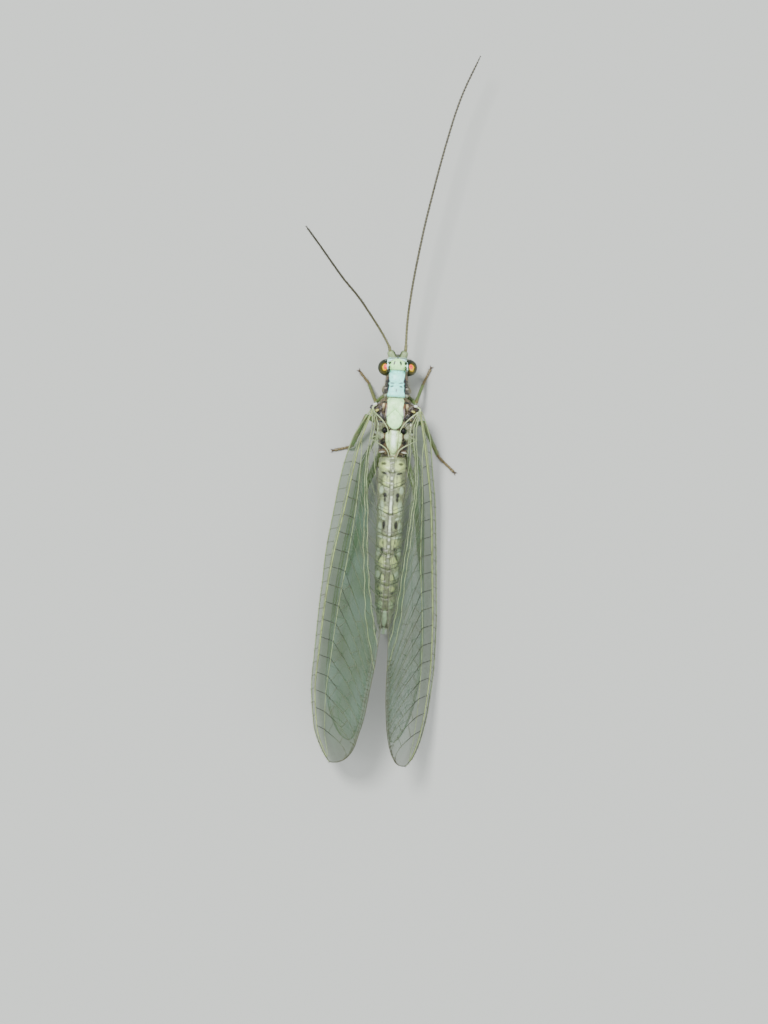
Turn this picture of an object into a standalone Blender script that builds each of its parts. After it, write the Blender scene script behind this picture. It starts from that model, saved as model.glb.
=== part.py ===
# Green lacewing at rest, life size: one solid for each part of the animal that a person would name.
# X points to the animal's left, Y towards its tail and Z up from the floor.
# Shapes are worked out in millimetres, from the front of the head, and each mesh is then put in metres.

import math

import bmesh
import bpy
import numpy as np
from mathutils import Vector

MM = 0.001

# The origin lies on the floor under the middle of the whole animal, feelers and wings included.
ORIGIN_X = 0.60
ORIGIN_Y = 2.00

# Thickness of the thin parts, and the gap between parts that meet.
WING_THICK = 0.5
LEG_RADIUS = 0.25
FEELER_RADIUS = 0.25
GAP = 0.05

# The two pairs of wings, as length from root to tip and the place of the root along the body.
FOREWING_ROOT = 2.10
FOREWING_TIP = 16.25
HINDWING_ROOT = 3.28
HINDWING_TIP = 15.30
WING_LAYER = WING_THICK + GAP
FOLD_HALF_WIDTH = 0.20
MITRE_FULL_WIDTH = 4.5
MITRE_START = 0.2
BLUNT_END = 0.990

# The head and the compound eyes.
HEAD_HALF_WIDTH = 0.41
EYE_OUTER = 0.78
EYE_LENGTH = 0.36
EYE_HEIGHT = 0.41
EYE_LEVEL = 1.44

COLOURS = {
    "cuticle_pale": ((0.62, 0.74, 0.55), 0.45),
    "cuticle_side": ((0.30, 0.26, 0.22), 0.55),
    "abdomen_skin": ((0.55, 0.55, 0.38), 0.5),
    "eye_surface": ((0.05, 0.10, 0.03), 0.15),
    "feeler_skin": ((0.17, 0.15, 0.09), 0.5),
    "leg_skin": ((0.34, 0.38, 0.17), 0.5),
    "foot_skin": ((0.25, 0.19, 0.10), 0.5),
    "wing_membrane": ((0.62, 0.70, 0.62), 0.25),
}


def clear_scene():
    for item in list(bpy.data.objects):
        bpy.data.objects.remove(item)


def make_materials():
    made = {}
    for name, (colour, roughness) in COLOURS.items():
        material = bpy.data.materials.new(name)
        material.use_nodes = True
        shader = material.node_tree.nodes["Principled BSDF"]
        shader.inputs["Base Color"].default_value = (*colour, 1.0)
        shader.inputs["Roughness"].default_value = roughness
        made[name] = material
    return made


def smooth(points):
    """Return a function that runs smoothly through a few (place, value) points and never overshoots."""
    place = np.array([point[0] for point in points], float)
    value = np.array([point[1] for point in points], float)
    step = np.diff(place)
    rise = np.diff(value) / step
    slope = np.zeros(len(place))
    for i in range(1, len(place) - 1):
        if rise[i - 1] * rise[i] > 0:
            slope[i] = 2 / (1 / rise[i - 1] + 1 / rise[i])
    slope[0] = rise[0]
    slope[-1] = rise[-1]

    def at(where):
        where = min(max(where, place[0]), place[-1])
        i = min(int(np.searchsorted(place, where, side="right")) - 1, len(step) - 1)
        t = (where - place[i]) / step[i]
        near = value[i] * (1 + 2 * t) * (1 - t) ** 2 + slope[i] * step[i] * t * (1 - t) ** 2
        far = value[i + 1] * t * t * (3 - 2 * t) - slope[i + 1] * step[i] * t * t * (1 - t)
        return float(near + far)

    return at


def ease(t):
    t = min(max(t, 0.0), 1.0)
    return t * t * (3 - 2 * t)


def cap(bm, loop):
    """Close a ring with a strip of faces from one side of it to the other."""
    count = len(loop)
    for i in range(count // 2 - 1):
        corners = [loop[i], loop[i + 1], loop[count - 2 - i], loop[count - 1 - i]]
        bm.faces.new(corners)


def loft(name, rings, material):
    """Join rings of points into one closed body, with a cap on its first and last ring."""
    bm = bmesh.new()
    loops = []
    for ring in rings:
        loops.append([bm.verts.new(point) for point in ring])
    count = len(loops[0])
    for near, far in zip(loops, loops[1:]):
        for i in range(count):
            j = (i + 1) % count
            bm.faces.new((near[i], near[j], far[j], far[i]))
    cap(bm, loops[0])
    cap(bm, loops[-1])
    bmesh.ops.triangulate(bm, faces=bm.faces[:])
    bmesh.ops.recalc_face_normals(bm, faces=bm.faces[:])
    if bm.calc_volume(signed=True) < 0:
        bmesh.ops.reverse_faces(bm, faces=bm.faces[:])
    bmesh.ops.translate(bm, vec=(-ORIGIN_X, -ORIGIN_Y, 0), verts=bm.verts[:])
    bmesh.ops.scale(bm, vec=(MM, MM, MM), verts=bm.verts[:])
    mesh = bpy.data.meshes.new(name)
    bm.to_mesh(mesh)
    bm.free()
    mesh.materials.append(material)
    mesh.shade_smooth()
    mesh.set_sharp_from_angle(angle=math.radians(50))
    item = bpy.data.objects.new(name, mesh)
    bpy.context.scene.collection.objects.link(item)
    return item


def body_ring(y, half_width, top, bottom, sides, squareness=2.2):
    """One cross-section of the body, an oval that can be a little square."""
    middle = (top + bottom) / 2
    half_height = (top - bottom) / 2
    ring = []
    for i in range(sides):
        turn = math.tau * i / sides
        across, up = math.cos(turn), math.sin(turn)
        reach = (abs(across) ** squareness + abs(up) ** squareness) ** (-1 / squareness)
        ring.append(Vector((half_width * reach * across, y, middle + half_height * reach * up)))
    return ring


def body(name, sections, sides, material):
    rings = [body_ring(y, half_width, top, bottom, sides) for y, half_width, top, bottom in sections]
    return loft(name, rings, material)


def add_head(materials):
    # Along the body: place, half width, top and bottom. The face is steep and the back of the head flat.
    sections = [
        (-0.16, 0.16, 1.42, 1.12),
        (-0.10, 0.29, 1.66, 0.94),
        (0.02, 0.37, 1.80, 0.84),
        (0.16, HEAD_HALF_WIDTH, 1.88, 0.80),
        (0.34, HEAD_HALF_WIDTH, 1.91, 0.84),
        (0.46, 0.38, 1.88, 0.94),
        (0.51, 0.30, 1.76, 1.06),
    ]
    body("head", sections, 18, materials["cuticle_pale"])
    mouth = [
        (-0.16, 0.10, 0.78, 0.66),
        (-0.10, 0.22, 0.84, 0.58),
        (0.00, 0.28, 0.79, 0.52),
        (0.14, 0.27, 0.75, 0.50),
        (0.26, 0.18, 0.74, 0.56),
    ]
    body("mouthparts", mouth, 12, materials["cuticle_pale"])


def add_eye(name, side, middle, material):
    """A bulging compound eye: a round cap on the side of the head."""
    inner = HEAD_HALF_WIDTH + GAP
    bulge = EYE_OUTER - inner
    steps = 5
    sides = 16
    rings = []
    for i in range(steps + 1):
        turn = math.radians(84) * i / steps
        out = inner + bulge * math.sin(turn) / math.sin(math.radians(84))
        size = math.cos(turn) if i else 0.97
        ring = []
        for j in range(sides):
            around = math.tau * j / sides
            y = middle + EYE_LENGTH * size * math.cos(around)
            z = EYE_LEVEL + EYE_HEIGHT * size * math.sin(around)
            ring.append(Vector((side * out, y, z)))
        rings.append(ring)
    loft(name, rings, material)


def add_thorax(materials):
    prothorax = [
        (0.56, 0.34, 1.72, 1.02),
        (0.62, 0.45, 1.80, 0.92),
        (0.90, 0.48, 1.85, 0.86),
        (1.06, 0.50, 1.82, 0.84),
        (1.30, 0.55, 1.90, 0.80),
        (1.50, 0.56, 1.95, 0.80),
        (1.56, 0.46, 1.90, 0.90),
    ]
    body("prothorax", prothorax, 16, materials["cuticle_pale"])
    mesothorax = [
        (1.61, 0.44, 1.94, 0.92),
        (1.68, 0.54, 2.04, 0.80),
        (1.95, 0.62, 2.14, 0.74),
        (2.25, 0.66, 2.17, 0.70),
        (2.55, 0.65, 2.14, 0.70),
        (2.80, 0.62, 2.06, 0.70),
        (2.88, 0.52, 1.96, 0.78),
    ]
    body("mesothorax", mesothorax, 18, materials["cuticle_side"])
    metathorax = [
        (2.93, 0.50, 1.92, 0.80),
        (3.00, 0.61, 1.97, 0.72),
        (3.30, 0.64, 1.96, 0.70),
        (3.60, 0.62, 1.88, 0.72),
        (3.80, 0.60, 1.82, 0.76),
        (3.86, 0.50, 1.74, 0.84),
    ]
    body("metathorax", metathorax, 18, materials["cuticle_side"])


def add_abdomen(materials):
    half_width = smooth([(3.9, 0.58), (4.6, 0.60), (6.5, 0.55), (8.3, 0.53), (9.3, 0.48), (10.3, 0.36), (11.1, 0.14)])
    half_height = smooth([(3.9, 0.50), (4.8, 0.56), (6.5, 0.55), (8.3, 0.53), (9.3, 0.48), (10.3, 0.37), (11.1, 0.14)])
    middle = smooth([(3.9, 1.28), (6.5, 1.16), (9.0, 1.06), (11.1, 0.98)])
    lengths = {
        "abdomen_front": (3.91, 6.30, 7),
        "abdomen_middle": (6.30 + GAP, 8.75, 6),
        "abdomen_tip": (8.75 + GAP, 11.12, 8),
    }
    for name, (first, last, count) in lengths.items():
        sections = []
        for i in range(count + 1):
            y = first + (last - first) * i / count
            high = half_height(y)
            sections.append((y, half_width(y), middle(y) + high, middle(y) - high))
        body(name, sections, 16, materials["abdomen_skin"])


def tube(name, path, radii, sides, material, floor=False):
    """A tube along a path. With floor, whatever would reach below the floor is pressed flat on it."""
    points = [Vector(point) for point in path]
    rings = []
    across = None
    for i, point in enumerate(points):
        ahead = points[min(i + 1, len(points) - 1)]
        behind = points[max(i - 1, 0)]
        along = (ahead - behind).normalized()
        if across is None:
            across = along.cross(Vector((0, 0, 1))).normalized()
        across = (across - along * across.dot(along)).normalized()
        up = along.cross(across)
        ring = []
        for j in range(sides):
            turn = math.tau * (j + 0.5) / sides
            spot = point + (across * math.cos(turn) + up * math.sin(turn)) * radii[i]
            if floor:
                spot.z = max(spot.z, 0.0)
            ring.append(spot)
        rings.append(ring)
    return loft(name, rings, material)


def rod(name, start, end, trim_start, trim_end, material, floor=False):
    """A straight leg joint with rounded ends, cut short by the trims so that it clears its neighbours."""
    start, end = Vector(start), Vector(end)
    along = (end - start).normalized()
    first = start + along * trim_start
    last = end - along * trim_end
    length = (last - first).length
    round_end = 0.16
    places = [0.0, 0.05, round_end, length / 2, length - round_end, length - 0.05, length]
    sizes = [0.45, 0.75, 1.0, 1.0, 1.0, 0.75, 0.45]
    path = [first + along * place for place in places]
    tube(name, path, [LEG_RADIUS * size for size in sizes], 8, material, floor)


# Each leg by its joints: where it leaves the thorax, the knee, the ankle and the claws.
LEGS = {
    "leg_fore_left": ((0.29, 1.38, 0.40), (0.80, 1.80, 1.08), (1.13, 1.02, 0.34), (1.50, 0.59, 0.21)),
    "leg_fore_right": ((-0.29, 1.38, 0.40), (-0.80, 1.78, 1.08), (-1.08, 0.93, 0.34), (-1.33, 0.33, 0.21)),
    "leg_mid_left": ((0.34, 2.72, 0.40), (1.14, 2.38, 1.22), (1.67, 3.62, 0.34), (2.38, 3.80, 0.21)),
    "leg_mid_right": ((-0.34, 2.72, 0.40), (-1.14, 2.52, 1.22), (-1.83, 3.84, 0.34), (-2.49, 4.42, 0.21)),
    "leg_hind_left": ((0.34, 3.40, 0.40), (1.06, 5.35, 0.92), (1.36, 7.75, 0.34), (1.56, 8.70, 0.21)),
    "leg_hind_right": ((-0.34, 3.40, 0.40), (-1.00, 5.35, 0.84), (-1.26, 7.75, 0.34), (-1.42, 8.65, 0.21)),
}
KNEE_TRIM = 0.26
ANKLE_TRIM = 0.10


def add_legs(material, foot_material):
    for name, (root, knee, ankle, claws) in LEGS.items():
        rod(name + "_femur", root, knee, 0.0, 0.03, material)
        rod(name + "_tibia", knee, ankle, KNEE_TRIM, 0.04, material)
        rod(name + "_tarsus", ankle, claws, ANKLE_TRIM, 0.0, foot_material, floor=True)


# Each feeler by the points it passes through, from its root on the face to its tip.
FEELERS = {
    "antenna_left": [
        (0.27, -0.20, 1.60), (0.36, -0.44, 1.72), (0.79, -1.09, 2.30), (1.62, -2.19, 3.45), (2.28, -2.88, 4.65),
        (2.75, -3.43, 5.75), (3.24, -4.02, 7.10), (3.84, -4.70, 9.10),
    ],
    "antenna_right": [
        (-0.27, -0.20, 1.60), (-0.29, -0.50, 1.70), (-0.30, -1.55, 1.98), (-0.43, -2.95, 2.22), (-0.64, -4.43, 2.36),
        (-0.88, -5.84, 2.42), (-1.41, -8.40, 2.44), (-1.94, -10.43, 2.36), (-2.64, -12.20, 2.20),
    ],
}


def along_path(points, count):
    """Points at even steps along a smooth curve through the given points."""
    given = [Vector(point) for point in points]
    ends = [given[0] * 2 - given[1]] + given + [given[-1] * 2 - given[-2]]
    fine = []
    for a, b, c, d in zip(ends, ends[1:], ends[2:], ends[3:]):
        for i in range(20):
            t = i / 20
            spot = b * 2 + (c - a) * t + (a * 2 - b * 5 + c * 4 - d) * t * t
            fine.append((spot + (b * 3 - a - c * 3 + d) * t ** 3) / 2)
    fine.append(given[-1])
    walked = [0.0]
    for near, far in zip(fine, fine[1:]):
        walked.append(walked[-1] + (far - near).length)
    path = []
    for i in range(count + 1):
        want = walked[-1] * i / count
        j = min(int(np.searchsorted(walked, want, side="right")) - 1, len(fine) - 2)
        share = (want - walked[j]) / (walked[j + 1] - walked[j])
        path.append(fine[j].lerp(fine[j + 1], share))
    return path


def add_feelers(material):
    for name, points in FEELERS.items():
        root, socket = Vector(points[0]), Vector(points[1])
        along = (socket - root).normalized()
        scape = [root + along * 0.02, root + along * 0.07, socket - along * 0.06, socket - along * GAP / 2]
        tube(name + "_scape", scape, [0.18, 0.235, 0.235, 0.20], 10, material)
        path = along_path(points[1:], 26)
        start = path[0] + (path[1] - path[0]).normalized() * GAP
        path[0] = start
        radii = [FEELER_RADIUS] * len(path)
        radii[0] = FEELER_RADIUS * 0.8
        radii[-1] = FEELER_RADIUS * 0.6
        tube(name + "_flagellum", path, radii, 8, material)


# A wing is told by its main vein, which is also the line along which the narrow front field folds,
# and by what lies on each side of that line. Places run along the body, from the front of the head.
WINGS = {
    "left": {
        "vein_out": smooth([(2.1, 0.90), (3.56, 1.36), (6.07, 1.80), (8.18, 2.18), (9.9, 2.38), (12.0, 2.53),
                            (13.2, 2.60), (14.9, 2.45), (15.8, 2.12), (16.25, 1.85)]),
        "vein_up": smooth([(2.1, 2.10), (4.0, 1.88), (6.0, 1.62), (8.0, 1.44), (10.0, 1.34), (12.0, 1.30),
                           (13.2, 1.32), (14.9, 1.52), (15.8, 1.94), (16.25, 2.29)]),
        "front_slope": smooth([(2.1, 30), (5.0, 42), (7.5, 55), (9.5, 68), (16.25, 73)]),
        "back_slope": smooth([(2.1, 12), (3.0, 25), (4.0, 40), (5.0, 46), (8.0, 46), (12.0, 52), (16.25, 53)]),
        "sign": 1,
    },
    "right": {
        "vein_out": smooth([(2.1, 1.00), (4.05, 1.36), (5.7, 1.61), (8.8, 1.84), (11.0, 1.96), (12.1, 1.97),
                            (13.9, 1.85), (15.1, 1.66), (15.9, 1.40), (16.25, 1.15)]),
        "vein_up": smooth([(2.1, 2.10), (4.0, 1.84), (6.0, 1.52), (8.0, 1.28), (10.0, 1.14), (12.1, 1.10),
                           (13.9, 1.32), (15.1, 1.66), (15.9, 2.14), (16.25, 2.58)]),
        "front_slope": smooth([(2.1, 35), (5.0, 74), (16.25, 76)]),
        "back_slope": smooth([(2.1, 12), (3.0, 26), (4.0, 44), (5.5, 53), (8.0, 56), (12.0, 62), (16.25, 62)]),
        "sign": -1,
    },
}
FRONT_FIELD = smooth([(0.0, 0.24), (0.08, 0.42), (0.25, 0.62), (0.5, 0.60), (0.8, 0.48), (1.0, 0.36)])
BACK_FIELD = smooth([(0.0, 0.34), (0.05, 0.80), (0.13, 1.22), (0.30, 2.22), (0.48, 3.22), (0.62, 3.76),
                     (0.75, 3.98), (1.0, 4.10)])
HIND_FRONT = smooth([(0.0, -0.12), (0.2, -0.02), (0.4, 0.06), (1.0, 0.10)])
HIND_BACK = smooth([(0.0, 0.26), (0.06, 0.34), (0.16, 1.10), (0.30, 1.95), (0.46, 2.85), (0.62, 3.36),
                    (0.78, 3.46), (1.0, 3.30)])


def fold(reach, front, back):
    """How far in and up a section has gone at a given reach from the main vein, and its slope there."""
    half = FOLD_HALF_WIDTH
    middle = (front + back) / 2
    bend = (back - front) / (2 * half)
    held = min(max(reach, -half), half)
    slope = middle + bend * held
    if abs(bend) > 1e-6:
        inward = (math.sin(slope) - math.sin(middle)) / bend
        upward = (math.cos(middle) - math.cos(slope)) / bend
    else:
        inward = math.cos(middle) * held
        upward = math.sin(middle) * held
    rest = reach - held
    return inward + rest * math.cos(slope), upward + rest * math.sin(slope), slope


def wing_ring(wing, y, front_reach, back_reach, depth, thickness, count):
    """One cross-section of a wing: its upper side from front to back edge, then its lower side."""
    back = math.radians(wing["back_slope"](y))
    # The hindwing, which lies deeper, is flat where the forewing folds.
    front = back if depth else math.radians(wing["front_slope"](y))
    # A wide section ends in an upright face over the body's middle. A narrow one is square all across.
    wide = min((back_reach - front_reach) / MITRE_FULL_WIDTH, 1.0)
    centre_slope = fold((front_reach + back_reach) / 2, front, back)[2]
    plain = Vector((math.sin(centre_slope), 0, math.cos(centre_slope)))
    upper, lower = [], []
    for i in range(count + 1):
        share = i / count
        reach = front_reach + (back_reach - front_reach) * share
        inward, upward, slope = fold(reach, front, back)
        spot = Vector((wing["vein_out"](y) - inward, y, wing["vein_up"](y) + upward))
        square = Vector((math.sin(slope), 0, math.cos(slope)))
        upright = Vector((0, 0, 1 / math.cos(back)))
        off = plain.lerp(square.lerp(upright, max(share - MITRE_START, 0) / (1 - MITRE_START)), wide)
        edge = 0.5 if i in (0, count) else 1.0
        spot -= off * depth
        for side, points in ((0.5, upper), (-0.5, lower)):
            point = spot + off * thickness * edge * side
            points.append(Vector((wing["sign"] * point.x, point.y, point.z)))
    return upper + list(reversed(lower))


def tip_stations(count):
    """Places along a wing, closer together towards a rounded tip, which ends in a short blunt edge."""
    return [BLUNT_END * (1 - (1 - i / count) ** 1.7) for i in range(count + 1)]


def add_wings(material):
    for side, wing in WINGS.items():
        rings = []
        for share in tip_stations(20):
            y = FOREWING_ROOT + (FOREWING_TIP - FOREWING_ROOT) * share
            near_tip = max(1 - share ** 9, 0.0) ** 0.5
            front = -FRONT_FIELD(share) * near_tip - 0.02
            back = BACK_FIELD(share) * max(1 - share ** 7, 0.0) ** 0.5 + 0.02
            rings.append(wing_ring(wing, y, front, back, 0.0, WING_THICK, 8))
        loft("forewing_" + side, rings, material)
        rings = []
        for share in tip_stations(16):
            y = HINDWING_ROOT + (HINDWING_TIP - HINDWING_ROOT) * share
            near_tip = max(1 - share ** 7, 0.0) ** 0.5
            middle = 1.45 * ease((share - 0.55) / 0.45)
            front = middle + (HIND_FRONT(share) - middle) * near_tip - 0.02
            back = middle + (HIND_BACK(share) - middle) * near_tip + 0.02
            rings.append(wing_ring(wing, y, front, back, WING_LAYER, WING_THICK, 7))
        loft("hindwing_" + side, rings, material)


def main():
    clear_scene()
    materials = make_materials()
    add_head(materials)
    add_eye("eye_left", 1, 0.41, materials["eye_surface"])
    add_eye("eye_right", -1, 0.36, materials["eye_surface"])
    add_thorax(materials)
    add_abdomen(materials)
    add_legs(materials["leg_skin"], materials["foot_skin"])
    add_feelers(materials["feeler_skin"])
    add_wings(materials["wing_membrane"])


main()
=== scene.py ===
# %% [markdown]
# A green lacewing at rest, life size.
# The real animal is a soft body 11 mm long under four clear wings that are folded like a steep roof.
# It could be sculpted by hand, but then nothing could be measured or changed.
# So every shape here comes from sizes in millimetres, worked out in numpy and handed to Blender as meshes.

# %% Load the frame
import math

import bpy
import numpy as np
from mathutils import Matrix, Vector


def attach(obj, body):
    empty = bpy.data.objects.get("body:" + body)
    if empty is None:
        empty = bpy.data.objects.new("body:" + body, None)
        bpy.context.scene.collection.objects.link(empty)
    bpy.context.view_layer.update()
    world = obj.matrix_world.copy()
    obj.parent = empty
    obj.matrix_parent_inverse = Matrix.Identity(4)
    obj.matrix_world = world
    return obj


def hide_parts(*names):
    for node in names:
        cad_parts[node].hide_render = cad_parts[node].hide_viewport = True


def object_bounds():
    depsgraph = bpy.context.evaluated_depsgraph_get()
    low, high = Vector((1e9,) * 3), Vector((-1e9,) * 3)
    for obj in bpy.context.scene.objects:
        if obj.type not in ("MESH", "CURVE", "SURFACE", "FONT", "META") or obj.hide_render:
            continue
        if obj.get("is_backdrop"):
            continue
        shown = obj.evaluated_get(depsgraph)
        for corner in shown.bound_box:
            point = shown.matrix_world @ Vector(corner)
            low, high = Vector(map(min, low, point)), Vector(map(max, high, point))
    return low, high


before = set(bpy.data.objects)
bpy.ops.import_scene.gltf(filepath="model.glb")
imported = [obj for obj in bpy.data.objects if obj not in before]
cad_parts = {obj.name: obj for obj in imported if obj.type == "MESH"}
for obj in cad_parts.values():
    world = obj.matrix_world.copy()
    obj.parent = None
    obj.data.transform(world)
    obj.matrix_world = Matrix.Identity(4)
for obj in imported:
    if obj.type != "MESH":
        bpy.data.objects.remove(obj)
frame_low, frame_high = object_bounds()
print("the frame has", len(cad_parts), "parts, from", list(frame_low), "to", list(frame_high))

# %% [markdown]
# The animal's own axes suit measuring: x to its left, y from the front of its head to its tail, z up.
# The row's frame has its origin under the middle of the whole animal, and is in metres.
# Shapes are worked out in the first and moved to the second only when a mesh is made.

# %% Sizes and places
MM = 0.001
ORIGIN = np.array([0.6, 2.0, 0.0])
FULL_TURN = math.tau
# One source of chance with a fixed start gives the same model at each run.
chance = np.random.default_rng(7)


def put_in_scene(name, data):
    """An object made around a mesh, a light or a camera."""
    made = bpy.data.objects.new(name, data)
    bpy.context.scene.collection.objects.link(made)
    return made


def make_piece(name, points, faces, material, slot, colours, nodes=()):
    """A mesh from points in millimetres, put in the row's frame and tied to the root body."""
    mesh = bpy.data.meshes.new(name)
    placed = (np.asarray(points, float) - ORIGIN) * MM
    mesh.from_pydata(placed.tolist(), [], [list(face) for face in faces])
    mesh.shade_smooth()
    mesh.materials.append(material)
    layer = mesh.color_attributes.new("Markings", "FLOAT_COLOR", "POINT")
    full = np.ones((len(placed), 4))
    full[:, :3] = colours
    layer.data.foreach_set("color", full.ravel())
    piece = put_in_scene(name, mesh)
    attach(piece, "root")
    if nodes:
        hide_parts(*nodes)
    return piece


print("one millimetre is", MM, "m, and the row's origin lies at", ORIGIN.tolist(), "mm")

# %% [markdown]
# Three small tools are used for almost every shape.
# A smooth curve through a few measured points gives outlines that never overshoot.
# A soft step blends one thing into another, and lattice noise breaks up edges that would look drawn.

# %% Curves, steps and noise
def smooth(points):
    """A function that runs smoothly through (place, value) points and never overshoots."""
    place = np.array([point[0] for point in points], float)
    value = np.array([point[1] for point in points], float)
    step = np.diff(place)
    rise = np.diff(value) / step
    slope = np.zeros(len(place))
    slope[0], slope[-1] = rise[0], rise[-1]
    for i in range(1, len(place) - 1):
        if rise[i - 1] * rise[i] > 0:
            slope[i] = 2 / (1 / rise[i - 1] + 1 / rise[i])

    def at(where):
        where = np.clip(np.asarray(where, float), place[0], place[-1])
        i = np.clip(np.searchsorted(place, where, side="right") - 1, 0, len(step) - 1)
        t = (where - place[i]) / step[i]
        near = value[i] * (1 + 2 * t) * (1 - t) ** 2 + slope[i] * step[i] * t * (1 - t) ** 2
        return near + value[i + 1] * t * t * (3 - 2 * t) - slope[i + 1] * step[i] * t * t * (1 - t)

    return at


def soft_step(low, high, value):
    t = np.clip((np.asarray(value, float) - low) / (high - low), 0, 1)
    return t * t * (3 - 2 * t)


def band(value, start, full, fading, end):
    """0 before the start, 1 from full to fading, and 0 again after the end."""
    return soft_step(start, full, value) * soft_step(end, fading, value)


def bell(value, width):
    """1 where the value is 0, falling to 0 on both sides."""
    return np.exp(-(np.asarray(value) / width) ** 2)


def noise(points, size, seed=0):
    """Smooth random values from -1 to 1 that change over about the given size."""
    spot = np.asarray(points, float) / size + seed * 17.31
    cell = np.floor(spot).astype(np.int64)
    part = spot - cell
    part = part * part * (3 - 2 * part)
    total = np.zeros(len(spot))
    for corner in np.ndindex(2, 2, 2):
        mixed = (cell + np.array(corner)) * np.array([374761393, 668265263, 1274126177])
        mixed = (mixed.sum(axis=1) + seed * 69069) & 0xFFFFFFFF
        mixed = ((mixed ^ (mixed >> 13)) * 1103515245) & 0xFFFFFFFF
        mixed = (mixed ^ (mixed >> 16)) & 0xFFFF
        weight = np.prod(np.where(np.array(corner), part, 1 - part), axis=1)
        total += weight * (mixed / 32767.5 - 1)
    return total


print("half way through a soft step:", float(soft_step(0, 1, 0.5)))

# %% [markdown]
# Almost every part of an insect is a tube: legs, feelers, veins, palps and claws.
# Curves with a bevel could make them, but a lofted tube of points can also be merged with others later.
# The same function therefore makes them all, and a bundle gathers many of them in one mesh.

# %% Tubes, balls and bundles
def unit(vectors):
    return vectors / np.maximum(np.linalg.norm(vectors, axis=-1, keepdims=True), 1e-12)


def ring_faces(rings, sides, start=0):
    """Quads between rings of points, and a fan of triangles onto a last point at each end."""
    faces = []
    for i in range(rings - 1):
        for j in range(sides):
            k = (j + 1) % sides
            a, b = start + i * sides, start + (i + 1) * sides
            faces.append((a + j, a + k, b + k, b + j))
    first, last = start + rings * sides, start + rings * sides + 1
    end = start + (rings - 1) * sides
    for j in range(sides):
        k = (j + 1) % sides
        faces.append((start + k, start + j, first))
        faces.append((end + j, end + k, last))
    return faces


def tube(path, radii, sides):
    """Points and faces of a closed tube along a path."""
    path = np.asarray(path, float)
    radii = np.broadcast_to(np.asarray(radii, float), len(path))
    along = unit(np.gradient(path, axis=0))
    guide = np.array([0.0, 0.0, 1.0]) if abs(along[0][2]) < 0.9 else np.array([1.0, 0.0, 0.0])
    side = unit(np.cross(along[0], guide))
    turn = np.arange(sides) * FULL_TURN / sides
    rings = []
    for i in range(len(path)):
        side = unit(side - along[i] * np.dot(side, along[i]))
        up = np.cross(along[i], side)
        rings.append(path[i] + radii[i] * (np.outer(np.cos(turn), side) + np.outer(np.sin(turn), up)))
    points = np.concatenate(rings + [path[:1], path[-1:]])
    return points, ring_faces(len(path), sides)


def ring_tint(tint, sides):
    """One colour for each ring of a tube, spread over the tube's points."""
    return np.vstack([np.repeat(tint, sides, axis=0), tint[:1], tint[-1:]])


def ball(centre, radii, tilt=0.0, sides=24):
    """Points and faces of an oval ball. Tilt turns it about the left-right axis, in degrees."""
    height = np.linspace(-0.5, 0.5, sides // 2 + 1)[1:-1] * math.pi
    turn = np.arange(sides) * FULL_TURN / sides
    rings = [np.column_stack([np.cos(h) * np.cos(turn), np.cos(h) * np.sin(turn), np.full(sides, np.sin(h))])
             for h in height]
    points = np.concatenate(rings + [[(0, 0, -1), (0, 0, 1)]]) * np.array(radii)
    c, s = math.cos(math.radians(tilt)), math.sin(math.radians(tilt))
    points = points @ np.array([[1, 0, 0], [0, c, s], [0, -s, c]])
    return points + np.array(centre), ring_faces(len(height), sides)


class Bundle:
    """Many shapes gathered in one mesh, each with its own colour."""

    def __init__(self):
        self.points, self.faces, self.colours, self.count = [], [], [], 0

    def add(self, shape, colour=(1, 1, 1)):
        points, faces = shape
        self.faces += [tuple(self.count + i for i in face) for face in faces]
        self.points.append(points)
        self.colours.append(np.broadcast_to(np.asarray(colour, float), (len(points), 3)))
        self.count += len(points)

    def both_sides(self, shape, colour=(1, 1, 1)):
        """The shape and its mirror image, with the mirror's faces turned the right way out."""
        self.add(shape, colour)
        self.add((shape[0] * np.array([-1, 1, 1]), [face[::-1] for face in shape[1]]), colour)

    def make(self, name, material, slot, lowest=-math.inf):
        """One piece of all the shapes, with no point below the lowest height."""
        points = np.concatenate(self.points)
        points[:, 2] = np.maximum(points[:, 2], lowest)
        print(name, "has", len(self.faces), "faces")
        return make_piece(name, points, self.faces, material, slot, np.concatenate(self.colours))


points, faces = tube([(0, 0, 0), (0, 1, 0), (0, 2, 0)], 0.1, 8)
print("a trial tube has", len(points), "points and", len(faces), "faces")

# %% [markdown]
# Colours are named as they look on the animal and turned into the straight light values that Blender mixes.
# The skin, the veins and the hairs all read one colour layer, called Markings, so they always agree.

# %% Colours
def paint(red, green, blue):
    """A colour as it looks on a screen, turned into straight light values."""
    seen = np.array([red, green, blue], float)
    return np.where(seen <= 0.04045, seen / 12.92, ((seen + 0.055) / 1.055) ** 2.4)


def blend(colours, new, amount):
    """Lay a colour over others by an amount from 0 to 1 at each point."""
    amount = np.asarray(amount, float)[:, None]
    return colours * (1 - amount) + new * amount


WAXY_WHITE = paint(0.8, 1.0, 0.96)
STRIPE = paint(0.6, 0.98, 0.92)
VERTEX_GREEN = paint(0.74, 1.0, 0.66)
CREAM_GREEN = paint(0.78, 1.0, 0.71)
STRAW = paint(0.72, 0.8, 0.5)
GREY_BROWN = paint(0.4, 0.43, 0.31)
MAUVE_BROWN = paint(0.3, 0.28, 0.21)
RED_BROWN = paint(0.33, 0.21, 0.13)
NEAR_BLACK = paint(0.04, 0.035, 0.04)
SPOT = paint(0.11, 0.11, 0.09)
NAVY = paint(0.07, 0.09, 0.15)
OLIVE = paint(0.36, 0.44, 0.22)
FOOT_BROWN = paint(0.38, 0.33, 0.17)
SCAPE_BEIGE = paint(0.5, 0.58, 0.4)
print("the stripe's straight light values are", STRIPE.round(3))

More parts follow.
